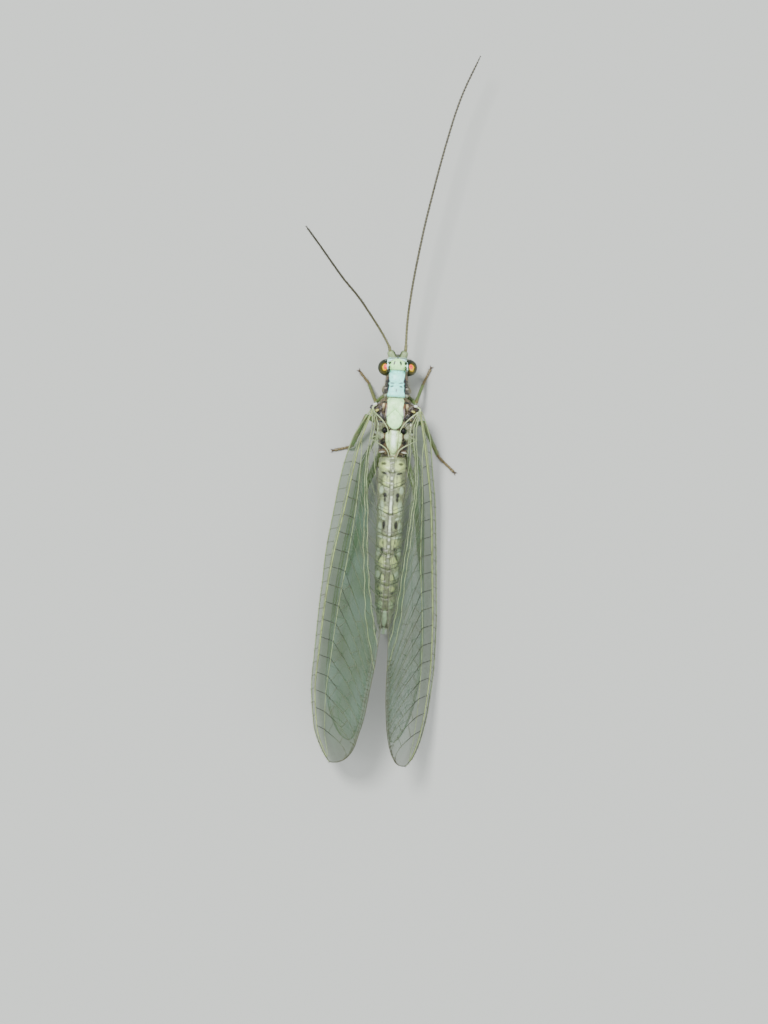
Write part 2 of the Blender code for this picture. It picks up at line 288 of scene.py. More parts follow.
# %% [markdown]
# Real cuticle is never one even colour: it is mottled, and its surface is a little uneven.
# A texture painted by hand would need an unwrap, so the grain is worked out from the place in space instead.
# It is one node group, used by every material with its own size and strength.

# %% The grain of cuticle
def make_grain():
    group = bpy.data.node_groups.new("Cuticle Grain", "ShaderNodeTree")
    for name, kind, start in (("Colour", "Color", (1, 1, 1, 1)), ("Grain Size", "Float", 10.0),
                              ("Mottle", "Float", 0.2), ("Gloss", "Float", 0.4),
                              ("Gloss Change", "Float", 0.15)):
        socket = group.interface.new_socket(name, in_out="INPUT", socket_type="NodeSocket" + kind)
        socket.default_value = start
    for name, kind in (("Colour", "Color"), ("Roughness", "Float"), ("Height", "Float")):
        group.interface.new_socket(name, in_out="OUTPUT", socket_type="NodeSocket" + kind)

    def add(kind, operation=None, **values):
        """A node of the group. Each value is set on the input of that number or name."""
        node = group.nodes.new(kind)
        if operation:
            node.operation = operation
        for socket, value in values.items():
            socket = socket.replace("_", " ")
            node.inputs[int(socket[-1]) if socket.startswith("input") else socket].default_value = value
        return node

    given, out = add("NodeGroupInput"), add("NodeGroupOutput")
    place = add("ShaderNodeTexCoord")
    # Places are in metres, so they are scaled to millimetres before the grain is worked out.
    larger = add("ShaderNodeVectorMath", "SCALE", Scale=1 / MM)
    coarse = add("ShaderNodeTexNoise", Detail=4)
    fine = add("ShaderNodeTexNoise", Detail=2)
    finer = add("ShaderNodeMath", "MULTIPLY", input1=4.0)
    swing = add("ShaderNodeMapRange", From_Min=0.3, From_Max=0.7, To_Min=-1.0, To_Max=1.0)
    shade = add("ShaderNodeMath", "MULTIPLY_ADD", input2=1.0)
    tinted = add("ShaderNodeVectorMath", "SCALE")
    rough = add("ShaderNodeMath", "MULTIPLY_ADD")
    for source, result, node, socket in (
        (place, "Object", larger, 0), (given, "Grain Size", finer, 0), (given, "Grain Size", coarse, "Scale"),
        (finer, 0, fine, "Scale"), (larger, 0, coarse, "Vector"), (larger, 0, fine, "Vector"),
        (coarse, "Fac", swing, "Value"), (swing, "Result", shade, 0), (given, "Mottle", shade, 1),
        (given, "Colour", tinted, 0), (shade, 0, tinted, "Scale"), (tinted, 0, out, "Colour"),
        (swing, "Result", rough, 0), (given, "Gloss Change", rough, 1), (given, "Gloss", rough, 2),
        (rough, 0, out, "Roughness"), (fine, "Fac", out, "Height"),
    ):
        group.links.new(source.outputs[result], node.inputs[socket])
    return group


grain = make_grain()
print("the grain group has", len(grain.nodes), "nodes")

# %% [markdown]
# Each finish is a shader of its own that reads the Markings layer through the grain.
# Thin cuticle lets a little light through, so the soft parts scatter it below the surface.
# Even values, such as the coat over the eyes, are set straight on the shader.

# %% Finishes
def make_finish(name, grain_size, mottle, gloss, gloss_change=0.1, depth=4e-6, **even):
    """A material that shows the Markings layer. The even values go on the shader's own sockets."""
    material = bpy.data.materials.new(name)
    material.use_nodes = True
    nodes, links = material.node_tree.nodes, material.node_tree.links
    shader = nodes["Principled BSDF"]
    marks = nodes.new("ShaderNodeAttribute")
    marks.attribute_name = "Markings"
    worked = nodes.new("ShaderNodeGroup")
    worked.node_tree = grain
    bump = nodes.new("ShaderNodeBump")
    links.new(marks.outputs["Color"], worked.inputs["Colour"])
    links.new(worked.outputs["Height"], bump.inputs["Height"])
    links.new(worked.outputs["Colour"], shader.inputs["Base Color"])
    links.new(worked.outputs["Roughness"], shader.inputs["Roughness"])
    links.new(bump.outputs["Normal"], shader.inputs["Normal"])
    bump.inputs["Distance"].default_value = depth
    for socket, value in (("Grain Size", grain_size), ("Mottle", mottle), ("Gloss", gloss),
                          ("Gloss Change", gloss_change)):
        worked.inputs[socket].default_value = value
    for socket, value in even.items():
        shader.inputs[socket.replace("_", " ")].default_value = value
    return material


def make_sheet_finish(name, alpha):
    return make_finish("wing membrane, " + name, 1.6, 0.14, 0.24, 0.08, 5e-6, Alpha=alpha, IOR=1.56)


SOFT_LIGHT = (0.05 * MM, 0.045 * MM, 0.03 * MM)
body_finish = make_finish("waxy body skin", 9.0, 0.1, 0.42, 0.12, 6e-6, Subsurface_Weight=0.12,
                          Subsurface_Radius=SOFT_LIGHT, Subsurface_Scale=1.0, Coat_Weight=0.15,
                          Coat_Roughness=0.25)
eye_finish = make_finish("faceted eye", 16.0, 0.12, 0.34, 0.04, 1e-6, Specular_IOR_Level=0.3,
                         Coat_Weight=0.1, Coat_Roughness=0.15)
feeler_finish = make_finish("ringed feeler", 14.0, 0.15, 0.5, 0.1, 3e-6)
vein_finish = make_finish("wing vein", 6.0, 0.12, 0.42, 0.08, 3e-6, Coat_Weight=0.1, Coat_Roughness=0.2)
hair_finish = make_finish("fine hair", 5.0, 0.1, 0.45, 0.05, 1e-6)
# The black finish is for two balls of painted shade that fill gaps on the back.
gap_shade_finish = make_finish("black for painted gap shade", 12.0, 0.1, 0.5, 0.05, 2e-6, Specular_IOR_Level=0.25)
front_finish = make_sheet_finish("front field", 0.66)
hindwing_finish = make_sheet_finish("hindwing", 0.27)
clear_finish = make_sheet_finish("hind field", 0.13)
# Near the root the sheet grows clearer in steps too small to see, because each material has one even alpha.
root_finishes = [make_sheet_finish("root %d" % i, 0.12 + 0.06 * i) for i in range(9)]
print(len(bpy.data.materials), "materials in all, the frame's own among them")

# %% [markdown]
# The trunk of a lacewing runs on without a break from neck to tail, pinched where one ring meets the next.
# It could be lofted ring by ring as the solids are, but then a seam would show at every joint.
# One long loft is laid down first. Lobes, legs and head are then melted into it.

# %% The trunk
# Each row: place along the body, half width, top and bottom.
TRUNK = [
    (0.42, 0.2, 1.62, 1.14), (0.52, 0.25, 1.66, 1.06), (0.6, 0.39, 1.76, 0.95), (0.68, 0.44, 1.8, 0.9),
    (0.9, 0.462, 1.83, 0.88), (1.04, 0.47, 1.79, 0.87), (1.14, 0.49, 1.835, 0.85), (1.3, 0.53, 1.88, 0.82),
    (1.48, 0.545, 1.93, 0.82), (1.56, 0.48, 1.88, 0.88), (1.61, 0.42, 1.8, 0.94), (1.7, 0.5, 1.94, 0.86),
    (1.95, 0.57, 2.03, 0.77), (2.25, 0.6, 2.05, 0.72), (2.55, 0.59, 2.01, 0.72), (2.8, 0.55, 1.92, 0.72),
    (2.9, 0.47, 1.81, 0.8), (3.0, 0.54, 1.82, 0.75), (3.3, 0.6, 1.83, 0.72), (3.6, 0.58, 1.77, 0.74),
    (3.8, 0.53, 1.7, 0.79), (3.9, 0.46, 1.64, 0.86),
]
ABDOMEN_WIDTH = smooth([(3.9, 0.53), (4.6, 0.575), (6.5, 0.53), (8.3, 0.51), (9.3, 0.46), (10.3, 0.34),
                        (11.08, 0.13)])
ABDOMEN_HEIGHT = smooth([(3.9, 0.44), (4.8, 0.53), (6.5, 0.53), (8.3, 0.51), (9.3, 0.46), (10.3, 0.35),
                         (11.08, 0.13)])
ABDOMEN_MIDDLE = smooth([(3.9, 1.28), (6.5, 1.16), (9.0, 1.06), (11.08, 0.98)])
ABDOMEN_SHIFT = smooth([(3.9, 0.0), (6.0, -0.03), (8.5, -0.03), (11.08, -0.01)])

sections = TRUNK + [(y, ABDOMEN_WIDTH(y), ABDOMEN_MIDDLE(y) + ABDOMEN_HEIGHT(y),
                     ABDOMEN_MIDDLE(y) - ABDOMEN_HEIGHT(y)) for y in np.linspace(4.05, 11.08, 24)]


def lines_through(sections):
    """The half width, top and bottom as smooth curves along the body."""
    return [smooth([(row[0], row[i]) for row in sections]) for i in (1, 2, 3)]


def loft_body(sections, sides=56, square=2.35, step=0.03):
    """A closed loft through oval sections that are a little square."""
    width, top, bottom = lines_through(sections)
    places = np.arange(sections[0][0], sections[-1][0] + step / 2, step)
    turn = np.arange(sides) * FULL_TURN / sides
    across, up = np.cos(turn), np.sin(turn)
    reach = (np.abs(across) ** square + np.abs(up) ** square) ** (-1 / square)
    rings = []
    for y in places:
        middle, high = (top(y) + bottom(y)) / 2, (top(y) - bottom(y)) / 2
        rings.append(np.column_stack([width(y) * reach * across + ABDOMEN_SHIFT(y), np.full(sides, y),
                                      middle + high * reach * up]))
    ends = [rings[0].mean(axis=0, keepdims=True), rings[-1].mean(axis=0, keepdims=True)]
    # Rings that run tailward turn the other way from a tube's, so the faces are reversed.
    return np.concatenate(rings + ends), [face[::-1] for face in ring_faces(len(rings), sides)]


half_width, top_line, bottom_line = lines_through(sections)
flesh = Bundle()
flesh.add(loft_body(sections))
print("the trunk is", round(sections[-1][0] - sections[0][0], 2), "mm long and",
      round(2 * float(half_width(2.25)), 2), "mm wide at the forewings")

# %% [markdown]
# The head is a short box between two bulging eyes, with a domed crown and a steep flat face.
# The feelers stand in two thick first joints that meet in a V, and the jaws close below a small shield.
# Each of these is a ball or a short tube, because they melt together in the next steps anyway.

# %% The head
EYE_MIDDLE = np.array([0.42, 0.38, 1.44])
EYE_SIZE = np.array([0.365, 0.345, 0.395])
HEAD = [
    (-0.13, 0.17, 1.42, 1.1), (-0.08, 0.27, 1.63, 0.95), (0.02, 0.345, 1.76, 0.86), (0.16, 0.385, 1.83, 0.82),
    (0.34, 0.39, 1.85, 0.86), (0.44, 0.385, 1.83, 0.94), (0.51, 0.34, 1.78, 1.05), (0.56, 0.26, 1.7, 1.14),
]
flesh.add(loft_body(HEAD, 40, 2.5, 0.02))
# The crown, the front of the face, the mouth shield, the lip and the throat.
for centre, radii in (((0, 0.27, 1.755), (0.33, 0.255, 0.135)), ((0, -0.06, 1.3), (0.21, 0.1, 0.3)),
                      ((0, -0.07, 0.98), (0.19, 0.09, 0.13)), ((0, -0.08, 0.83), (0.155, 0.06, 0.1)),
                      ((0, 0.1, 0.74), (0.2, 0.16, 0.16))):
    flesh.add(ball(centre, radii))
# The cheeks, the jaws and the sockets of the feelers.
for centre, radii, tilt in (((0.25, 0.1, 1.1), (0.14, 0.2, 0.2), 0),
                            ((0.16, -0.02, 0.76), (0.08, 0.09, 0.14), 20),
                            ((0.16, -0.02, 1.57), (0.15, 0.09, 0.14), 0)):
    flesh.both_sides(ball(centre, radii, tilt))

# The pale rim round each eye.
turn = np.linspace(0, FULL_TURN, 49)
rim = np.column_stack([np.full(49, 0.385), 0.38 + 0.3 * np.cos(turn), 1.44 + 0.36 * np.sin(turn)])
flesh.both_sides(tube(rim, 0.05, 10))

# The first joint of each feeler, from its root on the face to its end.
SCAPES = {"left": np.array([(0.17, 0.03, 1.58), (0.345, -0.27, 1.7)]),
          "right": np.array([(-0.165, 0.03, 1.58), (-0.285, -0.28, 1.68)])}
SCAPE_RADIUS = smooth([(0, 0.15), (0.35, 0.165), (0.8, 0.15), (1, 0.09)])
share = np.linspace(0, 1, 12)
for root, end in SCAPES.values():
    flesh.add(tube(np.outer(1 - share, root) + np.outer(share, end), SCAPE_RADIUS(share), 20))
print("the head is", 2 * round(EYE_MIDDLE[0] + EYE_SIZE[0], 2), "mm wide over the eyes")

# %% [markdown]
# On top of the wing-bearing rings lie rounded plates: a front plate, two side lobes and a shield behind.
# Below them the sides bulge where the leg muscles are, and small bumps stand at the roots of the wings.

# %% Plates and lobes of the thorax
PLATES = [((0, 1.88, 1.95), (0.34, 0.27, 0.165)), ((0, 2.5, 1.975), (0.325, 0.37, 0.155)),
          ((0, 3.4, 1.76), (0.2, 0.44, 0.155))]
# Each row: middle to the side, along and up, the three half sizes, and the tilt in degrees.
LOBES = [
    (0.25, 2.06, 1.965, 0.23, 0.33, 0.155, 0), (0.46, 1.98, 1.78, 0.17, 0.26, 0.19, 0),
    (0.66, 1.99, 1.84, 0.14, 0.13, 0.11, 0), (0.81, 1.91, 1.91, 0.13, 0.08, 0.08, 12),
    (0.72, 2.13, 1.88, 0.12, 0.09, 0.08, -10), (0.94, 2.02, 1.93, 0.09, 0.11, 0.07, 15),
    (0.58, 2.08, 1.9, 0.06, 0.1, 0.06, 0), (0.85, 2.08, 1.92, 0.07, 0.06, 0.06, 0),
    (0.86, 1.99, 1.89, 0.09, 0.09, 0.05, 0), (0.52, 2.34, 1.76, 0.2, 0.24, 0.2, 0),
    (0.74, 2.34, 1.74, 0.17, 0.22, 0.14, 0), (0.23, 3.18, 1.77, 0.2, 0.24, 0.14, 0),
    (0.58, 2.74, 1.68, 0.24, 0.3, 0.17, 0), (0.66, 2.66, 1.82, 0.05, 0.08, 0.06, 0),
    (0.52, 3.13, 1.7, 0.15, 0.19, 0.16, 0), (0.72, 3.18, 1.66, 0.13, 0.17, 0.13, 0),
    (0.45, 3.76, 1.52, 0.14, 0.09, 0.12, 0), (0.44, 1.3, 1.08, 0.14, 0.2, 0.26, 10),
    (0.44, 2.45, 1.1, 0.22, 0.42, 0.36, 12), (0.42, 3.3, 1.08, 0.2, 0.36, 0.34, 12),
    (0.46, 1.86, 1.3, 0.18, 0.22, 0.34, 15),
]
for centre, radii in PLATES:
    flesh.add(ball(centre, radii))
for lobe in LOBES:
    flesh.both_sides(ball(lobe[:3], lobe[3:6], lobe[6]))
print(len(PLATES) + 2 * len(LOBES), "plates and lobes on the thorax")

# %% [markdown]
# A lacewing walks on six thin legs. Each has a stout hip, a thigh, a long shin and a foot of five joints.
# The feet lie along the floor, so the foot's path drops to it at once and then runs level.
# The legs could be separate pieces, but real ones grow out of the body, so they are melted in too.

# %% The legs
# Each leg by its joints: where it leaves the thorax, the knee, the ankle and the claws.
LEGS = {
    "leg_fore_left": ((0.29, 1.38, 0.4), (0.8, 1.8, 1.08), (1.13, 1.02, 0.34), (1.5, 0.59, 0.21)),
    "leg_fore_right": ((-0.29, 1.38, 0.4), (-0.8, 1.78, 1.08), (-1.08, 0.93, 0.34), (-1.33, 0.33, 0.21)),
    "leg_mid_left": ((0.34, 2.72, 0.4), (1.14, 2.38, 1.22), (1.67, 3.62, 0.34), (2.38, 3.8, 0.21)),
    "leg_mid_right": ((-0.34, 2.72, 0.4), (-1.14, 2.52, 1.22), (-1.83, 3.84, 0.34), (-2.49, 4.42, 0.21)),
    "leg_hind_left": ((0.34, 3.4, 0.4), (1.06, 5.35, 0.92), (1.36, 7.75, 0.34), (1.56, 8.7, 0.21)),
    "leg_hind_right": ((-0.34, 3.4, 0.4), (-1.0, 5.35, 0.84), (-1.26, 7.75, 0.34), (-1.42, 8.65, 0.21)),
}
LEG_STOUTNESS = {"fore": 0.8, "mid": 1.0, "hind": 1.05}
THIGH = smooth([(0, 0.1), (0.12, 0.085), (0.35, 0.118), (0.7, 0.105), (1, 0.08)])
SHIN = smooth([(0, 0.076), (0.08, 0.09), (0.5, 0.084), (0.95, 0.078), (1, 0.066)])
FOOT_JOINTS = [0.0, 0.44, 0.6, 0.74, 0.86, 1.0]
FOOT_RADIUS = 0.058


def foot_path(ankle, claws, count=60):
    """From the ankle down to the floor and along it. Returns points and how thick the foot is at each."""
    share = np.linspace(0, 1, count)
    path = np.outer(1 - share, ankle) + np.outer(share, claws)
    path[:, 2] = FOOT_RADIUS + (ankle[2] - FOOT_RADIUS) * (1 - soft_step(0, 0.34, share))
    within = np.zeros(count)
    for start, end in zip(FOOT_JOINTS, FOOT_JOINTS[1:]):
        here = (share >= start) & (share <= end)
        within[here] = (share[here] - start) / (end - start)
    return path, FOOT_RADIUS * (0.72 + 0.28 * np.sin(np.clip(within, 0, 1) ** 0.6 * math.pi * 0.92))


leg_lines = {}
for name, joints in LEGS.items():
    hip, knee, ankle, claws = (np.array(joint) for joint in joints)
    hip_top = hip * np.array([0.8, 1.0, 1.0]) + np.array([0, -0.04, 0.52])
    stout = LEG_STOUTNESS[name.split("_")[1]]
    share = np.linspace(0, 1, 14)
    flesh.add(tube(np.outer(1 - share, hip_top) + np.outer(share, hip), 0.155 - 0.045 * share, 16))
    flesh.add(ball(hip, (0.115, 0.115, 0.105)))
    for start, end, thickness in ((hip, knee, THIGH), (knee, ankle, SHIN)):
        bow = np.outer(np.sin(share * math.pi), [0, 0, 0.03])
        flesh.add(tube(np.outer(1 - share, start) + np.outer(share, end) + bow, stout * thickness(share), 16))
    flesh.add(ball(knee, np.full(3, 0.088 * stout)))
    flesh.add(tube(*foot_path(ankle, claws), 14))
    leg_lines[name] = [(hip, knee), (knee, ankle), (ankle, claws)]
print("leg lengths in mm:", {name: round(sum(float(np.linalg.norm(b - a)) for a, b in lines), 1)
                             for name, lines in leg_lines.items()})

# %% [markdown]
# Now all of these are melted into one skin. Boolean unions would do it, but leave knife-sharp creases.
# A voxel remesh gives one closed surface of even small faces, and a little smoothing rounds the creases.
# The even faces also carry fine markings without any unwrap.

# %% Melt the parts into one skin
VOXEL = 0.015


def melt(bundle, voxel, rounds):
    """One closed skin around all the shapes: its points, faces and the normal at each point."""
    mesh = bpy.data.meshes.new("rough flesh")
    mesh.from_pydata(np.concatenate(bundle.points).tolist(), [], bundle.faces)
    rough = put_in_scene("rough flesh", mesh)
    remesh = rough.modifiers.new("one skin", "REMESH")
    remesh.mode = "VOXEL"
    remesh.voxel_size = voxel
    soften = rough.modifiers.new("soften", "SMOOTH")
    soften.factor = 0.5
    soften.iterations = rounds
    graph = bpy.context.evaluated_depsgraph_get()
    made = bpy.data.meshes.new_from_object(rough.evaluated_get(graph))
    bpy.data.objects.remove(rough)
    spots, normals = np.empty((2, len(made.vertices) * 3))
    made.vertices.foreach_get("co", spots)
    made.vertex_normals.foreach_get("vector", normals)
    polygons = [tuple(polygon.vertices) for polygon in made.polygons]
    bpy.data.meshes.remove(made)
    return spots.reshape(-1, 3), polygons, normals.reshape(-1, 3)


skin, skin_faces, skin_normals = melt(flesh, VOXEL, 9)
print("the skin has", len(skin), "points; its lowest is at", round(float(skin[:, 2].min()), 3), "mm")

# %% [markdown]
# Fine relief comes next: furrows, sutures and the folds where one ring of the abdomen slides in the next.
# They could be bump maps, but real grooves also catch the light at the outline.
# Each is a function of place that pushes the skin in or out by a few hundredths of a millimetre.

# %% Relief of the skin
# The rear edges of the abdomen's rings.
RING_EDGES = [4.08, 4.6, 5.22, 6.27, 7.16, 7.9, 8.48, 9.12, 9.62, 10.12, 10.76]


def oval(x, y, middle, half, turn=0.0, soft=0.35):
    """1 inside an oval, 0 outside it, with a soft edge. Turn is in degrees."""
    c, s = math.cos(math.radians(turn)), math.sin(math.radians(turn))
    u = ((x - middle[0]) * c + (y - middle[1]) * s) / half[0]
    v = ((y - middle[1]) * c - (x - middle[0]) * s) / half[1]
    return 1 - soft_step(1 - soft, 1 + soft, np.hypot(u, v))


def ring_edge(across, y, edge):
    """How far a point is behind a ring's edge, which bows forward on the sides."""
    return y - (edge - 0.2 * (np.abs(across) / 0.5) ** 1.4)


def trunk_side(points):
    """How far round the trunk from its top a point is, in turns, for the unwrap and the side marks."""
    middle = (top_line(points[:, 1]) + bottom_line(points[:, 1])) / 2
    return np.arctan2(points[:, 0] - ABDOMEN_SHIFT(points[:, 1]), points[:, 2] - middle) / FULL_TURN


def leg_place(points):
    """For each point, how far it is from the nearest leg, that leg's joint number and the way along it."""
    best = np.full(len(points), 9.0)
    joint, way = np.zeros(len(points), int), np.zeros(len(points))
    for lines in leg_lines.values():
        for number, (a, b) in enumerate(lines):
            share = np.clip((points - a) @ (b - a) / np.dot(b - a, b - a), 0, 1)
            gap = np.linalg.norm(points - a - share[:, None] * (b - a), axis=1)
            if number == 2:
                gap = np.minimum(gap, np.linalg.norm((points - a - share[:, None] * (b - a))[:, :2], axis=1))
            near = gap < best
            best[near], joint[near], way[near] = gap[near], number, share[near]
    return best, joint, way


x, y, z = skin.T
across = x - ABDOMEN_SHIFT(y)
outer = np.abs(across)
upper = soft_step(-0.05, 0.35, skin_normals[:, 2])
leg_gap, leg_joint, leg_way = leg_place(skin)
outside_trunk = (outer > half_width(y) + 0.015) | (z < bottom_line(y) - 0.01)
on_leg = (leg_gap < 0.17) & outside_trunk & (y > 0.3)
on_trunk = ~on_leg
on_top = upper * on_trunk
in_abdomen = soft_step(3.9, 4.1, y) * on_trunk
in_pronotum = band(y, 0.55, 0.6, 1.58, 1.62) * on_top
in_head = soft_step(0.56, 0.5, y) * on_top
facing = soft_step(0.22, 0.05, y) * soft_step(0.35, 0.05, skin_normals[:, 2]) * on_trunk
v_gap = outer - 1.05 * (y - 2.07)
shield = np.hypot(across / 0.335, (y - 2.5) / 0.385) - 1

# Each row: depth, distance from the middle of the groove, its half width, and where it is.
GROOVES = [
    (0.03, np.abs(trunk_side(skin)) - 0.27, 0.02, in_abdomen * soft_step(10.9, 10.2, y)),
    # The neck shield's two cross furrows and its middle line.
    (0.03, y - 1.06 - 0.05 * across ** 2, 0.035, in_pronotum),
    (0.018, y - 0.8, 0.03, in_pronotum * soft_step(0.1, 0.3, outer)),
    (0.012, across, 0.02, in_pronotum * soft_step(1.25, 1.4, y)),
    # The front plate's middle line and V, the shield behind it, and the sides of the last ridge.
    (0.012, across, 0.02, bell(y - 1.85, 0.25) * on_top),
    (0.02, v_gap, 0.022, (y > 2.05) * (y < 2.4) * on_top),
    (0.03, shield, 0.07, (y > 2.35) * on_top),
    (0.02, outer - 0.19, 0.02, band(y, 2.95, 3.05, 3.6, 3.8) * upper),
    # The rear and the sides of the crown.
    (0.016, y - 0.5, 0.02, in_head),
    (0.012, outer - 0.325, 0.018, in_head * soft_step(0.12, 0.2, y)),
    # A seam over the mouth shield, another over the lip, one down each side, and one beside the lip.
    (0.018, z - 1.15 + 0.35 * outer, 0.018, soft_step(0.27, 0.23, outer) * facing),
    (0.016, z - 0.91 - 0.1 * outer, 0.016, soft_step(0.2, 0.16, outer) * facing),
    (0.016, outer - 0.21 - 0.08 * (z - 1.1), 0.016, band(z, 0.92, 0.98, 1.36, 1.42) * facing),
    (0.02, outer - 0.085, 0.014, soft_step(0.84, 0.8, z) * facing),
]
for edge in RING_EDGES:
    behind = ring_edge(across, y, edge)
    GROOVES += [(0.026, behind - 0.03, 0.035, in_abdomen), (-0.012, behind + 0.1, 0.06, in_abdomen)]
beside = soft_step(0.4, 0.5, outer) * band(y, 1.75, 1.85, 3.7, 3.9) * on_trunk
push = 0.016 * noise(skin, 0.055, 6) * beside + 0.008 * noise(skin, 0.028, 7) * beside
push += 0.007 * noise(skin, 0.09, 3) * soft_step(1.62, 1.75, y) * on_trunk + 0.003 * noise(skin, 0.05, 4)
for depth, distance, width, where in GROOVES:
    push -= depth * bell(distance, width) * where
skin = skin + skin_normals * push[:, None]
skin[:, 2] = np.maximum(skin[:, 2], 0.0)
print(len(GROOVES), "grooves and folds, from", round(float(push.min()), 3), "to",
      round(float(push.max()), 3), "mm")

# %% [markdown]
# The markings are what makes this lacewing itself: a pale stripe from crown to tail over brown sides,
# paired dark spots on the rings of the abdomen, and a green crown between white rims.
# They are laid on in order, each a soft shape in its place, with edges bent a little by noise.

# %% Markings of the head and neck
mark_x = across + 0.012 * noise(skin, 0.12, 11) + 0.003 * noise(skin, 0.04, 13)
mark_y = y + 0.014 * noise(skin, 0.12, 12) + 0.003 * noise(skin, 0.04, 14)
out = np.abs(mark_x)
colours = np.tile(paint(0.52, 0.58, 0.36), (len(skin), 1))
# How steeply the crown's V runs back towards the sides.
V_SLOPE = 0.45


def wash(colour, *amounts):
    """Lay a colour over the skin by the product of the amounts. A plain triple is a colour as it looks."""
    new = paint(*colour) if isinstance(colour, tuple) else colour
    colours[:] = blend(colours, new, math.prod(amounts))


def spot_marks(where, rows):
    """Pairs of soft ovals. Each row: colour, strength, place out and along, half sizes, turn in degrees."""
    for colour, strength, side, along, wide, long, turn in rows:
        wash(colour, strength, on_top, where, oval(out, mark_y, (side, along), (wide, long), turn))


# The crown is green behind a white V, and a dark seam runs in front of the V.
face = soft_step(0.55, 0.5, y) * on_trunk
behind_v = y - V_SLOPE * out
wash(MAUVE_BROWN, soft_step(1.05, 1.25, z), on_trunk, soft_step(4.0, 3.7, y))
wash(CREAM_GREEN, face)
wash(WAXY_WHITE, face, soft_step(1.35, 1.5, z), soft_step(0.02, -0.01, behind_v))
wash(VERTEX_GREEN, face, upper, soft_step(0.34, 0.32, out), soft_step(0.0, 0.03, behind_v))
wash(WAXY_WHITE, face, soft_step(0.335, 0.36, out), soft_step(1.3, 1.5, z))
spot_marks(face, [
    (NEAR_BLACK, 1.0, 0.13, 0.21, 0.04, 0.085, -15), (NEAR_BLACK, 1.0, 0.325, 0.215, 0.066, 0.058, 0),
    ((0.3, 0.33, 0.24), 0.95, 0.21, 0.022, 0.19, 0.022, 8), (GREY_BROWN, 0.6, 0.24, 0.125, 0.11, 0.014, 24),
    # The navy oval in the middle at the front is painted shade in the notch between the feelers.
    (SPOT, 1.0, 0.345, 0.43, 0.036, 0.095, 0), (NAVY, 1.0, 0.0, 0.005, 0.04, 0.03, 0),
    (GREY_BROWN, 0.85, 0.0, 0.495, 0.31, 0.018, 0),
])
# Seen from above, the face between the feelers lies in shade, and painted shade makes it dark green there.
wash((0.08, 0.12, 0.05), face, soft_step(0.0, -0.04, y), soft_step(0.13, 0.09, out), soft_step(1.28, 1.36, z),
     soft_step(-0.05, 0.15, skin_normals[:, 2]))
# The face is yellower than the crown, with a dark streak on each cheek and beside the mouth shield.
wash((0.62, 0.74, 0.42), 0.75, face, soft_step(1.45, 1.3, z))
front = face * soft_step(0.35, 0.1, y) * soft_step(0.3, -0.1, skin_normals[:, 2])
for strength, middle, half, turn in ((0.95, (0.275, 1.12), (0.04, 0.17), 10),
                                     (0.9, (0.175, 0.96), (0.024, 0.11), 8),
                                     (0.8, (0.105, 0.73), (0.04, 0.05), 0)):
    wash((0.22, 0.11, 0.07), strength, front, oval(out, z, middle, half, turn))
# The first joints of the feelers are beige and dark at their roots, and painted shade darkens their inner
# sides.
for root, end in SCAPES.values():
    share = (skin - root) @ (end - root) / np.dot(end - root, end - root)
    gap = np.linalg.norm(skin - root - np.clip(share, 0, 1)[:, None] * (end - root), axis=1)
    on_scape = soft_step(0.2, 0.16, gap) * soft_step(0.0, 0.12, share) * soft_step(0.02, -0.03, y)
    outward = (skin[:, 0] - root[0] - share * (end[0] - root[0])) * np.sign(root[0])
    wash(SCAPE_BEIGE, on_scape)
    wash(GREY_BROWN, 0.5, on_scape, soft_step(0.1, 0.6, noise(skin, 0.06, 15)))
    # Painted shade on the inner side of each joint, where it does not face up.
    wash((0.12, 0.16, 0.06), 0.95, on_scape, bell(outward + 0.15, 0.06),
         soft_step(0.97, 0.7, skin_normals[:, 2]))
    wash(SPOT, 0.6, on_scape, bell(share - 0.05, 0.05), skin_normals[:, 2] < 0.7)
wash(MAUVE_BROWN, band(y, 0.5, 0.53, 0.6, 0.64), soft_step(0.28, 0.33, out), on_trunk)
print("the crown's V runs from 0.0 to", round(V_SLOPE * 0.33, 2), "mm behind the front of the head")

# %% [markdown]
# The neck shield has a smooth pale stripe with brown sides. The stripe runs on over the plates behind it,
# greener and creamier there, and ends in a pale ridge before the abdomen, with a painted highlight down its
# middle.
# The marks could be painted with a brush, but rows of places and sizes are easy to check against a picture.

# %% Markings of the thorax
stripe_width = smooth([(0.5, 0.31), (0.75, 0.31), (0.87, 0.28), (0.96, 0.27), (1.05, 0.315), (1.15, 0.29),
                       (1.3, 0.3), (1.45, 0.34), (1.6, 0.36)])
in_neck = band(y, 0.5, 0.53, 1.57, 1.6) * on_trunk
high_neck = in_neck * soft_step(1.1, 1.4, z)
streaks = noise(skin * np.array([1, 0.4, 1]), 0.09, 21)
stripe_edge = out - stripe_width(y)
wash(MAUVE_BROWN, in_neck, soft_step(0.9, 1.1, z), 0.9)
wash((0.47, 0.44, 0.34), 0.8, high_neck, soft_step(0.0, 0.6, streaks))
wash((0.24, 0.2, 0.17), 0.7, high_neck, soft_step(-0.2, -0.6, streaks))
wash(NAVY, 0.8, in_neck, upper, bell(stripe_edge - 0.05, 0.04), band(y, 0.7, 0.85, 1.48, 1.56))
wash(STRIPE, in_neck, soft_step(0.014, -0.014, stripe_edge), soft_step(1.2, 1.4, z))
